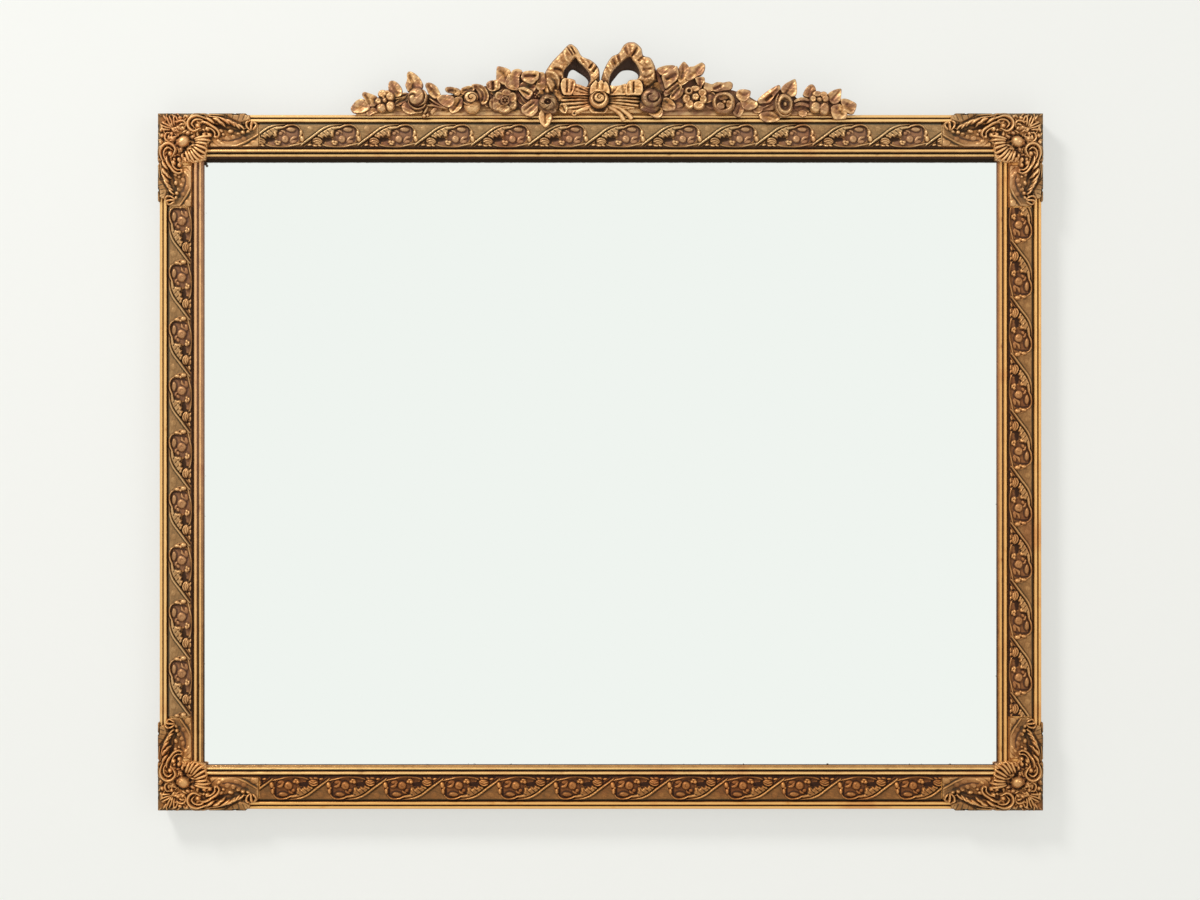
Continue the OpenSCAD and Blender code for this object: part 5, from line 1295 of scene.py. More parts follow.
LEFT_LOOP = (
    -7, 19.9, -0.6, 27, -0.6, 36, -2, 48, -10, 56, -19, 60, -25, 69, -32, 72.6, -40, 65, -50, 54.5, -57, 44,
    -58, 36, -56, 28, -50, 19.9, -38, 19.9, -22, 19.9,
)
LEFT_HOLLOW = (
    -16, 27.4, -10.4, 34.4, -11.6, 41.9, -17, 49, -23, 54.5, -26.2, 58.3, -31, 53, -37, 46.5, -38.8, 41,
    -37.6, 35.4, -33, 32.6, -27, 30.6, -21, 27.6,
)
LEFT_HOLE = (
    -15.1, 29.1, -12.7, 33.9, -15.1, 38.7, -22.5, 44, -28.3, 47.2, -32, 45.6, -34.1, 40.8, -34.1, 36.6,
    -30, 35.5, -26.2, 33.4, -20.4, 29.6,
)
LEFT_LOOP_MARKS = [
    ((-36.6, 69.5, -29.5, 59.5), 1, 0.9), ((-33.4, 71, -27.2, 60.6), 1, 0.9),
    ((-29.6, 71, -24.6, 62), 1.1, 0.8), ((-35, 70, -28.4, 60), 0.7, -1.3),
    ((-31.5, 71, -25.9, 61.4), 0.7, -1.3), ((-39, 66, -40, 56.5, -32.5, 48.8), 1.5, -1),
    ((-37, 64, -35.4, 56, -30, 52.4), 1.6, 0.9), ((-50, 53.5, -44.5, 50, -38.4, 47), 2.6, 1.3),
    ((-49, 46.6, -42, 45.8, -37, 41.4), 1.5, -1.6), ((-57, 43, -48.4, 42, -43, 34.4, -43.9, 27.6), 1.6, 1.5),
    ((-57.5, 38.4, -51.4, 37.2, -46.6, 31, -47.4, 24), 1.4, -1.5),
    ((-55.6, 33, -52, 27, -51.6, 21), 1.7, 1.1), ((-41.4, 40, -40.4, 31, -40.6, 22), 1.5, -1.6),
    ((-16.8, 57.4, -12.9, 50, -9.9, 42), 1.8, 1.1), ((-20.6, 58.6, -17.4, 51.8), 1, -0.9),
    ((-7.4, 53.2, -12.4, 46.2), 1, -2), ((-5.6, 51.2, -9.8, 44.6), 0.9, 0.9),
    ((-2.6, 50.4, -8, 43.2), 1.1, -2), ((-1.6, 43, -7.6, 36.6), 1.2, 0.8), ((-1, 38, -6.6, 30.6), 1.2, -1.2),
]
RIGHT_LOOP = (
    50, 19.9, 56, 28, 58, 37, 57, 48, 52, 58, 44.5, 61, 42, 69, 34, 74.9, 25, 72.5, 19, 63.5, 11, 59, 4, 47,
    0.6, 36, 0.6, 27, 7, 19.9, 24, 19.9,
)
RIGHT_HOLLOW = (
    31, 29.6, 36, 34, 40.4, 38.6, 40.6, 44.5, 37.6, 51, 33.5, 56, 30.6, 59.6, 25, 56.5, 18.6, 50.8,
    12.6, 44.4, 8.9, 36, 10, 29, 16, 27, 22, 28,
)
RIGHT_HOLE = (
    38.5, 38, 38.6, 42.6, 33.5, 46.1, 26.4, 46.8, 20.6, 45, 15.4, 39.2, 11.2, 33.4, 11.8, 29.8, 15.4, 28,
    20.6, 28, 24.2, 30.9, 28.8, 33.8, 33.5, 34.8,
)
RIGHT_LOOP_MARKS = [
    ((20.2, 69, 27.6, 60), 2, 1), ((24, 71.6, 28.6, 60.6), 1, -1), ((27.4, 73, 29.8, 61), 1.6, 1.2),
    ((38.8, 70.4, 35.4, 64, 31.9, 58.9), 1, -2.1), ((35.4, 72.4, 32.4, 63), 1.3, 0.9),
    ((42, 67, 36.4, 59.4), 1.6, 1), ((45, 60.4, 38.6, 54.4), 1.2, -1.2),
    ((18.2, 62.4, 19.2, 57, 21.6, 51.6), 1.1, -1.5), ((15.4, 61, 17.6, 53.2), 1.3, 0.9),
    ((12.2, 57.6, 16.6, 49), 1.1, -1.3), ((9.2, 54.6, 13.2, 46.2), 1.4, 0.9),
    ((5.2, 48.6, 10.2, 41), 1.1, -1.1), ((4, 42.4, 7.4, 34), 1.6, 0.9), ((44.4, 55.2, 42, 51), 2.6, 1.2),
    ((50.4, 54.4, 47.4, 51.6), 2.2, 1), ((55.4, 48, 48, 46, 43.4, 46.8), 1.3, -1.4),
    ((46.6, 42.6, 42.4, 41.6), 2.4, 1.1), ((55.4, 42.6, 50, 38.6, 44.4, 37.4), 1.2, -1.3),
    ((52.6, 37.6, 49.4, 35), 2.2, 1.1), ((57, 34.6, 52.6, 30, 47, 26.4), 1.4, -2.2),
    ((54.4, 27.4, 48.6, 22.4), 1.8, 1), ((43.4, 33, 43.8, 24), 1.2, -1.3),
]


# depths of a ribbon loop: its back, its front where it stands free and where it tucks behind the front
# folds, and how far forward a fold may come; heights over the frame of its foot and of the tuck's end
LOOP_BACK_D, LOOP_FRONT_D, LOOP_TUCK_D, LOOP_LIMIT_D = 14.2, 29.6, 25.6, 31.2
LOOP_FOOT, TUCK_TOP = 19.85, 28


def bow_loop(outline, hollow, hole, marks):
    """Looped ribbon: each section runs from the hole's edge up the dark hollow, over the front of the ribbon
    and round its outer edge to the back; its folds are scored as ridges and grooves."""
    centre = np.mean(as_points(hole), 0)
    count = 300
    a = np.linspace(0, 2 * np.pi, count, endpoint=False)

    def reach_of(ring):
        dense = ring_spline(ring, 1600) - centre
        angle = np.mod(np.arctan2(dense[:, 1], dense[:, 0]), 2 * np.pi)
        order = np.argsort(angle)
        return np.interp(a, angle[order], np.hypot(*dense.T)[order], period=2 * np.pi)

    edge = reach_of(hole)
    rim = np.maximum(reach_of(hollow), edge + 0.6)
    out = np.maximum(reach_of(outline), rim + 2.5)
    s = np.linspace(0, 1, 34)
    front_d = np.where(centre[1] + out * np.sin(a) < TUCK_TOP, LOOP_TUCK_D, LOOP_FRONT_D)
    front_d = np.convolve(np.concatenate([front_d[-12:], front_d, front_d[:12]]), np.ones(25) / 25, "valid")
    reach = rim[:, None] + (out - rim)[:, None] * s[None]
    crown = np.sin(np.pi * np.clip(s * 0.80 + 0.16, 0, 1)) ** 0.5
    depth = (front_d - 3.0)[:, None] + (2.6 * crown)[None]
    depth = depth - (3.6 * smoothstep((s - 0.84) / 0.16))[None] - (1.2 * smoothstep((0.10 - s) / 0.10))[None]
    xy = centre + reach[..., None] * np.stack([np.cos(a), np.sin(a)], -1)[:, None]
    fold = scored(xy, marks) * smoothstep((1.02 - s) / 0.10)[None]
    fold = fold * np.where(fold > 0, 1.9, 1.15)
    depth = depth + fold
    reach = reach + (0.35 * np.clip(fold, -1.6, 1.2) * s[None] ** 4)
    last = reach[:, -1:]
    wall_r = np.concatenate([last - 0.1, last - 0.7, edge[:, None] + 0.4 * (rim - edge)[:, None]], 1)
    wall_d = np.broadcast_to(np.array([21.0, LOOP_BACK_D, LOOP_BACK_D]), wall_r.shape)
    inner_r = np.stack([edge, edge + 0.02, edge + 0.35 * (rim - edge), edge + 0.75 * (rim - edge),
                        rim - 0.15], 1)
    rows = 0.25 * np.sin(2.6 * (centre[1] + inner_r[:, 2:4] * np.sin(a)[:, None]))
    inner_d = np.stack([
        np.full(count, 14.6), np.full(count, 17.6), 18.2 + rows[:, 0], 19.4 + rows[:, 1], front_d - 7.0], 1)
    r = np.concatenate([inner_r, reach, wall_r], 1)
    d = np.minimum(np.concatenate([inner_d, depth, wall_d], 1), LOOP_LIMIT_D)
    px = centre[0] + r * np.cos(a)[:, None]
    py = np.maximum(centre[1] + r * np.sin(a)[:, None], LOOP_FOOT)
    return closed_hoop(crest(np.stack([px, py, d], -1)))


def rumple(points, seed):
    """Unevenness of hand-worked composition: sines in eight seeded directions, 2.4 to 14 mm long."""
    rng = np.random.default_rng(seed)
    total = np.zeros(len(points))
    for length in (14, 11, 8, 6, 4.7, 3.7, 3, 2.4):
        t = rng.uniform(0, np.pi)
        wave = points[:, 0] * math.cos(t) + points[:, 1] * math.sin(t) + 0.11 * points[:, 2]
        total += (length / 14) ** 0.45 * np.sin(2 * np.pi * wave / length + rng.uniform(0, 6.3))
    return total


def bow_parts():
    """The bow's tails, loops, front folds and knot, as pieces with the CAD node each one replaces."""
    tails = [slab((-61, 6, -40, 1.4, 0, 1.4, 40, 1.4, 61, 6, 60.6, 12, 57, 19.7, -57, 19.7, -60.6, 12),
                  SPRAY_D, 3.4)]
    for ends, sign in (
        ((-38, 21.4, -39.5, 18, -41.5, 14.4, -40, 10.4, -35.4, 6.4, -29.4, 3), -1),
        ((38, 19.6, 41, 16.4, 42.6, 12.8, 40, 9, 35.4, 6.6, 30, 5.8), 1),
    ):
        for k, end in enumerate(as_points(ends)):
            start = np.array([sign * 7, 18.6 - 1.9 * k])
            mid = 0.5 * (start + end) + (0, 1.5 - 0.6 * k)
            tails.append(rod(
                [start, mid, end], 2, SPRAY_D + 1.2, 6.4 - 0.25 * k + 0.5 * (k % 2), taper=(0.7, 0.75)))
    tails += [
        rod((-8, 9, -18, 5.4, -26.4, 1.2), 2.5, SPRAY_D + 3.1, 3.9, taper=(0.7, 0.9)),
        head((-27.2, 0.8), 2.9, 2.9, SEAT_D, cupped(4.6, 0.45, 0.4, 0.05), m=16, n=32),
        rod((7, 9, 17, 3.4, 21.4, -1, 24.4, -6.6), 2.5, SPRAY_D + 3.1, 4.2, taper=(0.7, 1)),
        rod((9, 10, 19, 6.4, 27, 1.2, 33, -4.6), 2.6, SPRAY_D + 3.1, 4.2, taper=(0.7, 1)),
        mass((-11.2, 6.2, -9, 1.8, 0, 1.5, 5, 1.8, 7.2, 6.2, 4, 8.6, -8, 8.6), SPRAY_D, 6.2, 0, (0, 0),
             [((-9, 3.4, 5, 3.4), 0.8, -0.7)]),
        blade((-57.5, 5), (-57, -13.4), 12.6, SEAT_D, 5.8, 0, 0.6),
        blade((-41, 10), (-36.2, 1.4), 8, SPRAY_D, 6.6, 0.05),
        mass((-63, 17, -63.5, 24, -61, 30, -56, 31.6, -50, 28, -44, 24, -38.6, 19, -41, 14.4, -52, 13),
             SPRAY_D, 6, 0, (0, 0),
             [((-60, 29, -57.4, 20), 1.1, -1.3), ((-55.4, 30, -54, 20), 1.2, 1),
              ((-51, 27.4, -50, 20), 1, -1.3), ((-45.6, 25, -46.2, 18), 1.1, 0.9)]),
        blade((63, 5.6), (50.4, 0.6), 8.6, SEAT_D - 0.4, 5, 0.05, 0.3),
        mass((44, 20, 50, 27, 58, 33, 64, 30, 63, 21, 56, 17), SPRAY_D, 5.6, 0.05),
    ]
    left_loop = bow_loop(LEFT_LOOP, LEFT_HOLLOW, LEFT_HOLE, LEFT_LOOP_MARKS)
    right_loop = bow_loop(RIGHT_LOOP, RIGHT_HOLLOW, RIGHT_HOLE, RIGHT_LOOP_MARKS)
    folds = [
        mass((-38.6, 21, -40.6, 30, -38.4, 35.4, -33.4, 36, -26.6, 34, -26.8, 28, -30, 20.4, -34.6, 19.9),
             FLOWER_D, 5, 0, (0, 0),
             [((-34.6, 36, -34.6, 21), 0.9, -1.6), ((-31.4, 35, -33.2, 21), 1.4, 0.9),
              ((-28.2, 34, -30.4, 22), 0.8, -1)]),
        mass((-28.4, 20.2, -26.4, 28, -24.2, 30.4, -16, 27.6, -8.6, 26.4, -8, 20.2, -18, 19.9), FLOWER_D, 3.8,
             0, (0, 0),
             [((-26.2, 28.4, -9, 21), 0.8, -1.2), ((-20, 28.4, -9, 23.4), 0.9, -1),
              ((-26, 23.4, -10, 19.6), 0.8, -0.9), ((-23, 29.6, -22.6, 21), 1, 0.7)]),
        mass((26.6, 20, 27, 28, 29.6, 33.6, 34.6, 34.6, 40.6, 34, 43.4, 28, 42.2, 20.2, 34, 19.9), FLOWER_D,
             5.2, 0, (0, 0),
             [((30.6, 34.2, 31.6, 21), 1.5, 1.2), ((34.4, 34, 34.4, 21), 0.8, -1.5),
              ((28.2, 31, 28.6, 21), 0.8, -0.9)]),
        mass((8.4, 20.2, 10.2, 28.6, 14.4, 28.2, 20, 29, 26.4, 30.6, 27.6, 24, 26.6, 20.1, 18, 19.9),
             FLOWER_D, 3.8, 0, (0, 0),
             [((22.4, 29.6, 24, 21), 1, -1.1), ((18, 28.4, 12, 21), 0.9, -0.9),
              ((13.4, 28, 11, 23), 0.8, 0.7)]),
    ]
    knot = [
        slab((-8.6, 17, 5.8, 17, 7.4, 24, 5.2, 27.6, -6.4, 28, -9.4, 24), FLOWER_D, 4.4),
        head((-1.5, 15.2), 10.2, 10, FLOWER_D, cupped(8.9, 0.72, 0.62, 0.05, (0, 0.06), 0.42), m=48, n=96),
        head((-1, 16.2), 6, 5.2, FLOWER_D + 3.2, rolled(5, 1.25, (0.08, 0.10), 0.30, -1, 0.35), turn=-20,
             m=36, n=72),
        mass((-10.4, 20, -9.6, 27.6, -6.4, 31.6, -4.4, 33.6, -2.6, 31, -0.4, 33.4, 1.6, 33.8, 3, 31,
              5.2, 32.4, 8, 28, 9, 20.4, 4, 22.6, -1, 23.2, -6, 22.6),
             FLOWER_D + 1, 7.4, 0, (0, -0.02),
             [((-3.6, 24.6, -3, 31.6), 0.8, -0.9), ((2.4, 24.4, 2.8, 31), 0.8, -0.9),
              ((-0.6, 24.4, -0.2, 32), 1.1, 0.6)]),
    ]
    return [
        CrestPiece("bow_tails", ["bow_base"], tails),
        CrestPiece("bow_loop_left_ribbon", ["bow_loop_left"], [left_loop], 0, 0.25),
        CrestPiece("bow_loop_right_ribbon", ["bow_loop_right"], [right_loop], 0.1, 0.3),
        CrestPiece("bow_front_folds", [], folds),
        CrestPiece("bow_knot_button", ["bow_knot"], knot),
    ]


def spray_parts():
    """Parts of the left and the right spray, with the stems and buds between their leaves."""
    left, right = spray(LEFT_GROUND, LEFT_MASSES), spray(RIGHT_GROUND, RIGHT_MASSES)
    left += [
        rod((-179, 17.4, -172, 12.4, -163, 7.6, -156.6, 5.2), 1.5, SPRAY_D + 1, 6.2),
        rod((-178.4, 13.6, -172, 8.8, -162, 6.6, -154, 5), 1.3, SPRAY_D + 1, 5.6),
        rod((-187, 3.8, -181, 8.4, -175, 9.2, -168, 7.6, -161, 6.6), 1.6, SPRAY_D + 1, 6.4),
        rod((-179.5, 8, -181.4, 4.2, -182.8, 0.2), 1.9, SPRAY_D + 3.1, 3.8, (0.8, 0.9)),
        head((-182.9, -1.6), 2.6, 2.3, SEAT_D, lump(5), m=14, n=32),
        head((-179.2, -0.8), 2, 2.1, SEAT_D, lump(4.4), m=14, n=32),
        rod((-175.4, 0.6, -173.4, 4, -170, 6.2), 2.2, SPRAY_D + 3, 3, (0.8, 0.6)),
        mass((-93, 6, -84, 3, -76, 4, -72, 10, -78, 14, -88, 12), SPRAY_D, 4.4, 0.1),
        mass((-118, 8, -121, 14, -118, 20, -113, 18, -112, 10), SPRAY_D, 5.2, 0.1),
        mass((-208, 8, -214, 12, -206, 15, -200, 13, -200, 8), SPRAY_D, 4.6),
    ]
    for dx, dh in ((-2, 1.3), (1.6, 1.8), (2.2, -1.4), (-1.2, -1.8), (0.2, 0.2)):
        left.append(head((-66 + dx, 19.6 + dh), 1.7, 1.6, SPRAY_D + 2, lump(5.4), m=10, n=22))
    right += [
        mass((64, 12, 72, 14, 80, 18, 86, 14, 84, 8, 72, 6), SPRAY_D, 4.6, 0.1),
        mass((108, 16, 116, 20, 120, 14, 117, 6, 110, 8), SPRAY_D, 5.4, 0.1),
        mass((146, 11, 156, 13, 168, 14, 180, 16, 181, 6, 168, 4, 152, 6), SPRAY_D, 4.8, 0.1, (0, 0),
             [((150, 9, 178, 11), 1.4, -0.9)]),
        mass((200, 8, 210, 10, 217, 12, 216, 3, 206, 3.4), SPRAY_D, 4.4),
        rod((164, 3.6, 172, 8.2, 180, 11), 1.2, SPRAY_D + 1, 5.4),
    ]
    return left, right


def plinth_strip():
    """Low plinth with a rounded top, as one section carried along the crest."""
    lo, hi = node_box("crest_plinth")
    height, back, front = hi[2] - lo[2], lo[1], hi[1]
    section = np.array([
        (0.0, back), (0.0, front), (0.6 * height, front), (0.74 * height, front - 0.25),
        (0.88 * height, front - 1.0), (0.96 * height, front - 2.0), (height, front - 3.2),
        (height, back + 0.6), (height - 0.6, back)])
    rings = [np.insert(section, 0, x, axis=1) for x in np.linspace(lo[0], hi[0], 120)]
    return closed_loft(crest(np.stack(rings)))


def build_crest(materials):
    """All pieces over the top rail: plinth, sprays of leaves and ribbon, flowers and the bow."""
    left, right = spray_parts()
    plinth = CrestPiece("crest_plinth_strip", ["crest_plinth"], [plinth_strip()])
    plan = [
        CrestPiece("spray_leaves_left", ["spray_left"], left, 0.10, 0.60),
        CrestPiece("spray_leaves_right", ["spray_right"], right, 0.22, 0.60), plinth, *bow_parts()]
    for node, (tone, rose, parts) in flower_heads().items():
        plan.append(CrestPiece("head_" + node, [node], parts, tone, rose))

    shape = CrestMap()
    for rank, piece in enumerate(plan):
        # backs that would lie in one plane are stepped apart, so that no two faces coincide
        for k, (points, _) in enumerate(piece.parts):
            points[:, 2] += (0.012 * rank + 0.04 * k) * (np.abs(points[:, 2] - SPRAY_D) < 0.01)
        piece.points, piece.quads = merged(piece.parts)
        if piece is not plinth:
            free = smoothstep((piece.points[:, 2] - 21.5) / 2.5)
            rumpled = piece.points[:, 2] + 0.16 * free * rumple(piece.points, 3)
            piece.points[:, 2] = np.minimum(rumpled, CREST_LIMIT_D)
            piece.points[:, 1] = np.minimum(piece.points[:, 1], CREST_TOP)
        shape.add(piece.points)
    shape.finish()
    for piece in plan:
        relief, rim = shape.relief(piece.points)
        mottle, bloom = (np.clip(0.5 + 0.35 * rumple(0.55 * piece.points, seed), 0, 1) for seed in (5, 6))
        front = smoothstep((piece.points[:, 2] - 20) / 5)
        # painted highlight on the ledge under the flowers, which stands out to the light
        ledge = smoothstep((9 - piece.points[:, 1] + FRAME_TOP) / 4) * (piece.points[:, 2] < 22.6)
        relief = np.clip(relief + 0.12 * (bloom - 0.5) + 0.30 * ledge, 0, 1)
        # painted shade down inside the ribbon loops
        hollow = smoothstep((24.5 - piece.points[:, 2]) / 4) * piece.name.startswith("bow_loop")
        make_piece(
            piece.name, piece.points, piece.quads, [materials["cast"]],
            piece.replaces, {
                "relief": relief, "patina": np.clip(0.5 * bloom**2 + 0.9 * rim * front, 0, 1),
                "rose": piece.rose * 2 * mottle, "dark": np.maximum(piece.tone, 1.5 * hollow)})


# ---- materials ----


def linear(code):
    """sRGB hex colour to linear: c / 12.92 below 0.04045, else ((c + 0.055) / 1.055) ^ 2.4."""
    c = np.array([int(code[i : i + 2], 16) for i in (1, 3, 5)]) / 255
    lin = np.where(c <= 0.04045, c / 12.92, ((c + 0.055) / 1.055) ** 2.4)
    return (*lin.tolist(), 1.0)


def feed(tree, node, inputs):
    """Gives each named or numbered input of a node a value, or links it to the output of another node."""
    for key, value in inputs.items():
        if isinstance(value, bpy.types.NodeSocket):
            tree.links.new(value, node.inputs[key])
        else:
            node.inputs[key].default_value = value


def add_node(tree, kind, inputs=None, **settings):
    """A shader node of that kind, with its settings and with values or links for its inputs."""
    node = tree.nodes.new("ShaderNode" + kind)
    for key, value in settings.items():
        setattr(node, key, value)
    feed(tree, node, inputs or {})
    return node


def calc(tree, operation, *terms, clamp=False):
    """Output of a Math node; each term is a number or the output of another node."""
    return add_node(tree, "Math", dict(enumerate(terms)), operation=operation, use_clamp=clamp).outputs[0]


def noise(tree, place, scale, detail, roughness=0.5):
    settings = {"Vector": place, "Scale": scale, "Detail": detail, "Roughness": roughness}
    return add_node(tree, "TexNoise", settings).outputs["Fac"]


def mixed(tree, amount, first, second, blend="MIX"):
    """Colour mixed from two, each a value or the output of another node."""
    inputs = {0: amount, 6: first, 7: second}
    return add_node(tree, "Mix", inputs, data_type="RGBA", blend_type=blend).outputs[2]


def bump(tree, height, strength, distance):
    inputs = {"Height": height, "Strength": strength, "Distance": distance}
    return add_node(tree, "Bump", inputs).outputs[0]


def attribute(tree, name):
    return add_node(tree, "Attribute", attribute_name=name).outputs["Fac"]


def new_material(name, inputs):
    """A material of one principled shader with those inputs: it, its node tree, the shader and the output."""
    material = bpy.data.materials.new(name)
    material.use_nodes = True
    tree = material.node_tree
    tree.nodes.clear()
    shader = add_node(tree, "BsdfPrincipled", inputs)
    return material, tree, shader, add_node(tree, "OutputMaterial", {"Surface": shader.outputs[0]})


def ramp(tree, source, stops):
    """Colour that a value picks between stops of position and colour."""
    node = add_node(tree, "ValToRGB", {0: source})
    elements = node.color_ramp.elements
    while len(elements) < len(stops):
        elements.new(0.5)
    for element, (position, colour) in zip(elements, stops):
        element.position = position
        element.color = colour
    return node.outputs["Color"]


def grey(v):
    return (v, v, v, 1.0)


# where wear and painted shading take the gilding: position, and shares of glaze, toned gold and burnished
# gold
WEAR_AND_SHADING = (
    (0.08, 1, 0, 0), (0.24, 0.52, 0.48, 0), (0.44, 0, 1, 0), (0.62, 0, 0.60, 0.40), (0.78, 0, 0.28, 0.72),
    (0.93, 0, 0, 1))


def gilt_material(name, colours, tints, warm, gloss, lift):
    """Bronze-gilt over red bole, toned with an umber glaze that stays in the hollows and is rubbed off the
    high spots: its colour follows the relief attribute, which also paints shade into the hollows and
    highlight onto the high spots, broken by brush-wide and speck-wide noise."""
    material, tree, shader, _ = new_material(name, {"Specular IOR Level": 0.25})
    place = add_node(tree, "TexCoord").outputs["Object"]
    # broad fading, wipe marks of the toning, about 9 mm across, and grains of dirt, about 1.2 mm
    broad = noise(tree, place, 22, 2)
    wiped = calc(tree, "MULTIPLY_ADD", noise(tree, place, 110, 3, 0.6), 0.38, -0.26 + lift)
    grainy = calc(tree, "MULTIPLY_ADD", noise(tree, place, 800, 2, 0.55), 0.36, wiped)
    faded = calc(tree, "MULTIPLY_ADD", broad, 0.16, grainy)
    worn_and_shaded = calc(tree, "ADD", attribute(tree, "relief"), faded, clamp=True)
    worn_and_shaded = calc(tree, "SUBTRACT", worn_and_shaded, 0.19, clamp=True)
    deep = np.minimum(warm, (9, 9, 0.86))
    glaze, toned = np.array(colours.glaze) * deep, np.array(colours.toned) * deep
    burnished = np.array(colours.burnished) * warm
    colour = ramp(tree, worn_and_shaded, [(at, (*(glaze * g + toned * t + burnished * b), 1)) for at, g, t, b in WEAR_AND_SHADING])
    for key, tint, strength, blend in tints:
        amount = calc(tree, "MULTIPLY", attribute(tree, key), strength, clamp=True)
        colour = mixed(tree, amount, colour, linear(tint), blend)
    # red bole shows in thin streaks where the gilding is rubbed through
    bole = ramp(tree, broad, [(0.60, grey(0)), (0.72, grey(0.35))])
    feed(tree, shader, {
        "Base Color": mixed(tree, bole, colour, linear("#C07050"), "MULTIPLY"),
        "Metallic": ramp(tree, worn_and_shaded, [(0.2, grey(0.10)), (0.5, grey(0.50)), (0.9, grey(0.72))]),
        "Roughness": ramp(tree, worn_and_shaded, [(0.2, grey(0.72)), (0.55, grey(gloss + 0.10)), (0.85, grey(gloss))]),
        "Normal": bump(tree, grainy, 0.45, 0.0006)})
    return material


def plain_material(name, base, other, roughness, metallic, scale, stretch=(1, 1, 1), rough_grain=0.0):
    """Plain finish with its colour broken between two tones by noise stretched along its grain."""
    material, tree, shader, _ = new_material(
        name, {"Roughness": roughness, "Metallic": metallic, "Base Color": linear(base)})
    place = add_node(tree, "TexCoord").outputs["Object"]
    grain = noise(tree, add_node(tree, "Mapping", {"Vector": place, "Scale": stretch}).outputs[0], scale, 4)
    feed(tree, shader, {"Base Color": ramp(tree, grain, [(0.32, linear(base)), (0.68, linear(other))])})
    if rough_grain:
        feed(tree, shader, {"Normal": bump(tree, grain, rough_grain, 0.0003)})
    return material


def glass_material():
    """Old silvered plate glass: a faint green cast from the iron in the glass, small dark foxing spots
    where the silver has lifted within a few millimetres of the sight edge, and a dark band along the top
    that is a painted shadow and reflection of the frame's lip."""
    material, tree, shader, _ = new_material(
        "Silvered plate glass", {"Specular IOR Level": 0.1, "Roughness": 0.015})
    place = add_node(tree, "TexCoord").outputs["Object"]
    split = add_node(tree, "SeparateXYZ", {0: place})
    half_w, half_h = (FRAME_W / 2 - RAIL_W) * MM, (FRAME_H / 2 - RAIL_W) * MM
    height = calc(tree, "SUBTRACT", split.outputs["Z"], CENTRE_H * MM)
    edge = calc(
        tree, "MINIMUM", calc(tree, "SUBTRACT", half_w, calc(tree, "ABSOLUTE", split.outputs["X"])),
        calc(tree, "SUBTRACT", half_h, calc(tree, "ABSOLUTE", height)))
    # spots reach about 4 mm from the edge; noise cells of about 4 mm make them few and uneven
    cells = noise(tree, place, 240, 3, 0.6)
    spots = calc(tree, "ADD", cells, calc(tree, "MULTIPLY", edge, -75))
    # painted shadow and reflection of the lip: a band 3.8 mm deep along the top, its lower edge slightly
    # uneven
    lip_shadow_band = calc(tree, "MULTIPLY_ADD", height, 1400, -1400 * (half_h - 0.0038) - 0.4)
    lip_shadow_band = calc(tree, "ADD", lip_shadow_band, cells, clamp=True)
    foxing_and_lip_shadow = calc(tree, "MAXIMUM", ramp(tree, spots, [(0.60, grey(0)), (0.66, grey(1))]), lip_shadow_band)
    # two blots at the top left corner: from the left, below the top, and radius, in millimetres
    for x, below, radius in ((1.4, 4.6, 2.2), (2.8, 6.8, 1.7)):
        blot = (-half_w + x * MM, -LEDGE_D * MM, CENTRE_H * MM + half_h - below * MM)
        away = add_node(tree, "VectorMath", {0: place, 1: blot}, operation="DISTANCE").outputs["Value"]
        dark = calc(tree, "MULTIPLY_ADD", away, -1200, 1.2 * radius, clamp=True)
        foxing_and_lip_shadow = calc(tree, "MAXIMUM", foxing_and_lip_shadow, dark)
    feed(tree, shader, {
        "Base Color": mixed(tree, foxing_and_lip_shadow, linear("#EFF4EF"), linear("#30230F")),
        "Metallic": calc(tree, "SUBTRACT", 1, foxing_and_lip_shadow, clamp=True)})
    return material


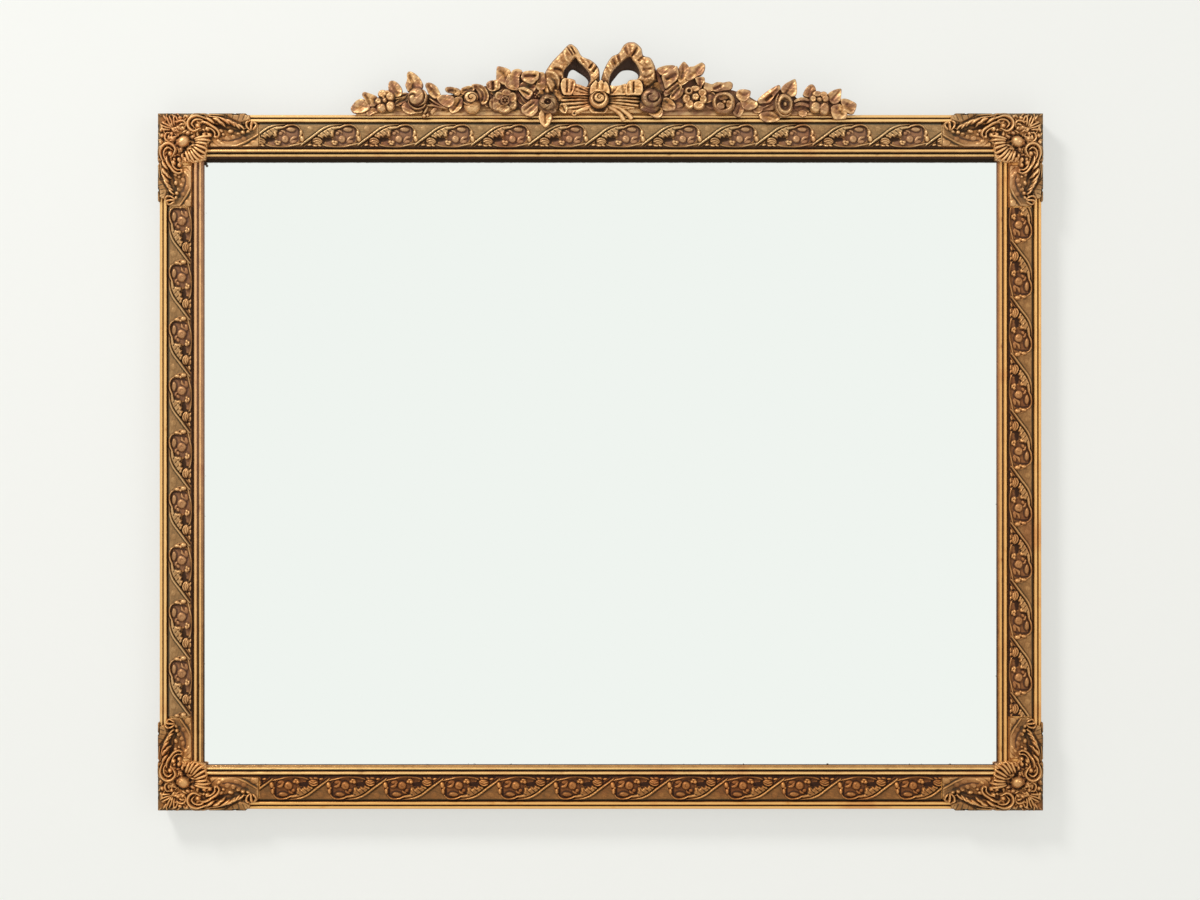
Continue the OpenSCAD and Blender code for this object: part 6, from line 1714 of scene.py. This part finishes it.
def make_materials(colours):
    return {
        # Oil-gilt beads, burnished and with a painted highlight on top, with brown glaze and painted shade in
        # the quirks and pink bole on the stiles.
        "moulding": gilt_material("Burnished gilt moulding", colours, (
            ("rose", "#D8A488", 0.55, "MIX"), ("age_and_shade", "#E6C47C", 0.9, "MULTIPLY"),
            ("crown_highlight", "#FFDA90", 0.8, "MIX")), (1.06, 0.96, 0.74), 0.28, 0),
        # Pressed composition, bronzed and toned: warm brown, with mauve ovals and greenish bare corners.
        "frieze": gilt_material("Bronzed pressed frieze", colours, (
            ("rose", "#9C7460", 0.42, "MIX"), ("patina", "#7C7A5C", 0.45, "MIX"),
            ("age_and_shade", "#DDB074", 0.9, "MULTIPLY")), (1.02, 0.98, 0.88), 0.36, -0.08),
        # Cast composition, gilt and toned: gold on every rubbed edge, dark umber behind it, both also
        # painted light: highlight on the edges, shade in the hollows.
        "cast": gilt_material("Toned gilt composition", colours, (
            ("patina", "#7C7A5C", 0.35, "MIX"), ("rose", "#8E5E46", 0.60, "MIX"),
            ("dark", "#4A382E", 0.6, "MIX"), ("age_and_shade", "#E4C07A", 0.9, "MULTIPLY")),
            (1.14, 1.06, 0.96), 0.40, 0.02),
        "glass": glass_material(),
        # Three-ply birch, browned by age, with grain along the width.
        "ply": plain_material("Aged birch ply", "#A87C4C", "#8E6438", 0.72, 0, 40, (1, 1, 12), 0.25),
        # Knot-free pine, stained by handling, grain along the rail.
        "pine": plain_material("Stained pine", "#8A6238", "#6E4A28", 0.70, 0, 30, (1.5, 6, 6), 0.3),
        "packer": plain_material("Split pine packing", "#C6A470", "#AE8A56", 0.75, 0, 90),
        # Drawn wire, gone dull and brownish.
        "wire": plain_material("Dull steel wire", "#6E665C", "#4E4238", 0.48, 0.85, 500),
        # Nickel-plated wire of the hanging rings, still smooth.
        "ring": plain_material("Plated steel wire", "#A09A8E", "#857E70", 0.28, 1, 300),
        # Thin pressed brass, tarnished to brown-yellow.
        "brass": plain_material("Tarnished brass", "#B08E4E", "#8A6A36", 0.38, 1, 160, rough_grain=0.1),
    }


MATERIALS = {}


def finishes(context):
    if not MATERIALS:
        MATERIALS.update(make_materials(context.scene.mirror_colours))
    return MATERIALS


# ---- operators ----


class MIRROR_OT_rails(Operator):
    """Builds the four mitred lengths of gilt moulding"""

    bl_idname = "mirror.rails"
    bl_label = "Moulding"

    def execute(self, context):
        for side in range(4):
            build_rail(side, context.scene.mirror_sizes, finishes(context))
        return {"FINISHED"}


class MIRROR_OT_friezes(Operator):
    """Builds the pressed friezes of twisting stems, leaves and buds"""

    bl_idname = "mirror.friezes"
    bl_label = "Friezes"

    def execute(self, context):
        for side in range(4):
            build_frieze(side, context.scene.mirror_sizes, finishes(context))
        return {"FINISHED"}


class MIRROR_OT_corners(Operator):
    """Builds the four cast corner ornaments of scrolls, shells and leaves"""

    bl_idname = "mirror.corners"
    bl_label = "Corners"

    def execute(self, context):
        for name, sx, up in (
            ("corner_top_left", -1, 1), ("corner_bottom_left", -1, -1),
            ("corner_bottom_right", 1, -1), ("corner_top_right", 1, 1),
        ):
            build_corner(name, sx, up, context.scene.mirror_sizes, finishes(context))
        return {"FINISHED"}


class MIRROR_OT_crest(Operator):
    """Builds the crest: plinth, sprays, flower heads and the bow"""

    bl_idname = "mirror.crest"
    bl_label = "Crest"

    def execute(self, context):
        build_crest(finishes(context))
        return {"FINISHED"}


class MIRROR_OT_fittings(Operator):
    """Gives the glass, backboard, packing, nails, screws and hangers their finishes"""

    bl_idname = "mirror.fittings"
    bl_label = "Glass, back and hangers"

    def execute(self, context):
        made = finishes(context)
        for node, key, slot in (
            ("mirror_glass", "glass", "silvered_glass"), ("backboard", "ply", "plywood_back"),
            ("glass_packers", "packer", "packing_softwood"), ("sprigs", "wire", "wire_nails"),
            ("mitre_nails", "wire", "wire_nails"), ("crest_screws", "brass", "brass_screws"),
            ("hanger_strap_left", "brass", "brassed_strap"), ("hanger_strap_right", "brass", "brassed_strap"),
            ("hanger_ring_left", "ring", "steel_ring"), ("hanger_ring_right", "ring", "steel_ring"),
            ("hanger_screws_left", "brass", "brass_screws"), ("hanger_screws_right", "brass", "brass_screws"),
        ):
            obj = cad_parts[node]
            obj.data.materials.clear()
            obj.data.materials.append(made[key])
        return {"FINISHED"}


class MIRROR_OT_stage(Operator):
    """Sets up the pale wall, the floor, the lamps and the camera"""

    bl_idname = "mirror.stage"
    bl_label = "Stage"

    def execute(self, context):
        scene = context.scene
        # the wall shows from the room side only, so that views from behind are not blocked
        paint, tree, shader, out = new_material("Pale wall paint", {
            "Base Color": linear("#A9A9A6"), "Emission Color": linear("#F3F4EF"), "Emission Strength": 0.58,
            "Roughness": 0.9, "Specular IOR Level": 0})
        behind = add_node(tree, "NewGeometry").outputs["Backfacing"]
        clear = add_node(tree, "BsdfTransparent").outputs[0]
        both = add_node(tree, "MixShader", {0: behind, 1: shader.outputs[0], 2: clear})
        feed(tree, out, {"Surface": both.outputs[0]})
        far, wall_y, floor_z, wall_top = 6, 0.0062, -0.9, 4
        wall = self.plane("backdrop_wall", [
            (-far, wall_y, floor_z), (far, wall_y, floor_z),
            (far, wall_y, wall_top), (-far, wall_y, wall_top)], paint)
        for flag in ("visible_diffuse", "visible_glossy", "visible_transmission", "visible_shadow"):
            setattr(wall, flag, False)
        boards = new_material("Pale floor paint", {
            "Base Color": linear("#ECEBE6"), "Roughness": 0.9, "Specular IOR Level": 0})[0]
        floor = self.plane("floor", [
            (-far, -far, floor_z), (far, -far, floor_z), (far, far, floor_z), (-far, far, floor_z)], boards)
        floor.visible_glossy = False

        world = bpy.data.worlds.new("Soft white room")
        scene.world = world
        world.use_nodes = True
        tree = world.node_tree
        tree.nodes.clear()
        # the room lights the mirror less than it shows to the camera and in reflections
        rays = add_node(tree, "LightPath").outputs
        seen = calc(tree, "MAXIMUM", rays["Is Camera Ray"], rays["Is Glossy Ray"])
        seen = calc(tree, "MAXIMUM", seen, rays["Is Transmission Ray"])
        strength = add_node(tree, "Mix", {0: seen, 2: 0.47, 3: 1}, data_type="FLOAT").outputs[0]
        sky = add_node(tree, "Background", {"Color": (1, 1, 1, 1), "Strength": strength})
        add_node(tree, "OutputWorld", {"Surface": sky.outputs[0]})

        self.lamp("key_softbox", (-2.0, -2.3, 3.3), (0, 0, 0.40), 1.05, 110)
        self.lamp("fill_softbox", (1.8, -2.2, 0.7), (0, 0, 0.35), 1.4, 6)

        data = bpy.data.cameras.new("Camera")
        camera = bpy.data.objects.new("Camera", data)
        scene.collection.objects.link(camera)
        # the picture spans 1.248 m in the plane 16 mm off the wall
        distance, span, off_wall, sensor = 2.6, 1.248, 0.016, 36
        data.sensor_width = sensor
        data.lens = sensor * (distance - off_wall) / span
        camera.location = (-0.0005, -distance, 0.3502)
        camera.rotation_euler = (math.pi / 2, 0, 0)
        scene.camera = camera
        scene.view_settings.view_transform = "Standard"
        return {"FINISHED"}

    def plane(self, name, corners, material):
        mesh = bpy.data.meshes.new(name)
        mesh.from_pydata(corners, [], [(0, 1, 2, 3)])
        mesh.materials.append(material)
        obj = bpy.data.objects.new(name, mesh)
        bpy.context.scene.collection.objects.link(obj)
        return obj

    def lamp(self, name, place, target, size, watts):
        data = bpy.data.lights.new(name, "AREA")
        data.shape = "DISK"
        data.size = size
        data.energy = watts
        obj = bpy.data.objects.new(name, data)
        bpy.context.scene.collection.objects.link(obj)
        x, y, z = np.subtract(target, place)
        obj.location = place
        obj.rotation_euler = (
            math.pi / 2 + math.atan2(z, math.hypot(x, y)), 0, math.atan2(y, x) - math.pi / 2)


class MIRROR_PT_panel(Panel):
    """Buttons that build the mirror piece by piece"""

    bl_label = "Overmantel mirror"
    bl_idname = "MIRROR_PT_panel"
    bl_space_type = "VIEW_3D"
    bl_region_type = "UI"
    bl_category = "Mirror"

    def draw(self, context):
        layout = self.layout
        for name in ("bead_wobble", "frieze_relief", "repeats_long", "repeats_short", "corner_relief"):
            layout.prop(context.scene.mirror_sizes, name)
        for name in ("burnished", "toned", "glaze"):
            layout.prop(context.scene.mirror_colours, name)
        for operator in OPERATORS:
            layout.operator(operator.bl_idname)


OPERATORS = (MIRROR_OT_rails, MIRROR_OT_friezes, MIRROR_OT_corners, MIRROR_OT_crest, MIRROR_OT_fittings,
             MIRROR_OT_stage)
CLASSES = (MirrorSizes, MirrorColours, *OPERATORS, MIRROR_PT_panel)


def register():
    for cls in CLASSES:
        bpy.utils.register_class(cls)
    bpy.types.Scene.mirror_sizes = PointerProperty(type=MirrorSizes)
    bpy.types.Scene.mirror_colours = PointerProperty(type=MirrorColours)


def unregister():
    del bpy.types.Scene.mirror_colours
    del bpy.types.Scene.mirror_sizes
    for cls in reversed(CLASSES):
        bpy.utils.unregister_class(cls)


def main():
    register()
    bpy.ops.mirror.rails()
    bpy.ops.mirror.friezes()
    bpy.ops.mirror.corners()
    bpy.ops.mirror.crest()
    bpy.ops.mirror.fittings()
    bpy.ops.mirror.stage()


if __name__ == "__main__":
    main()
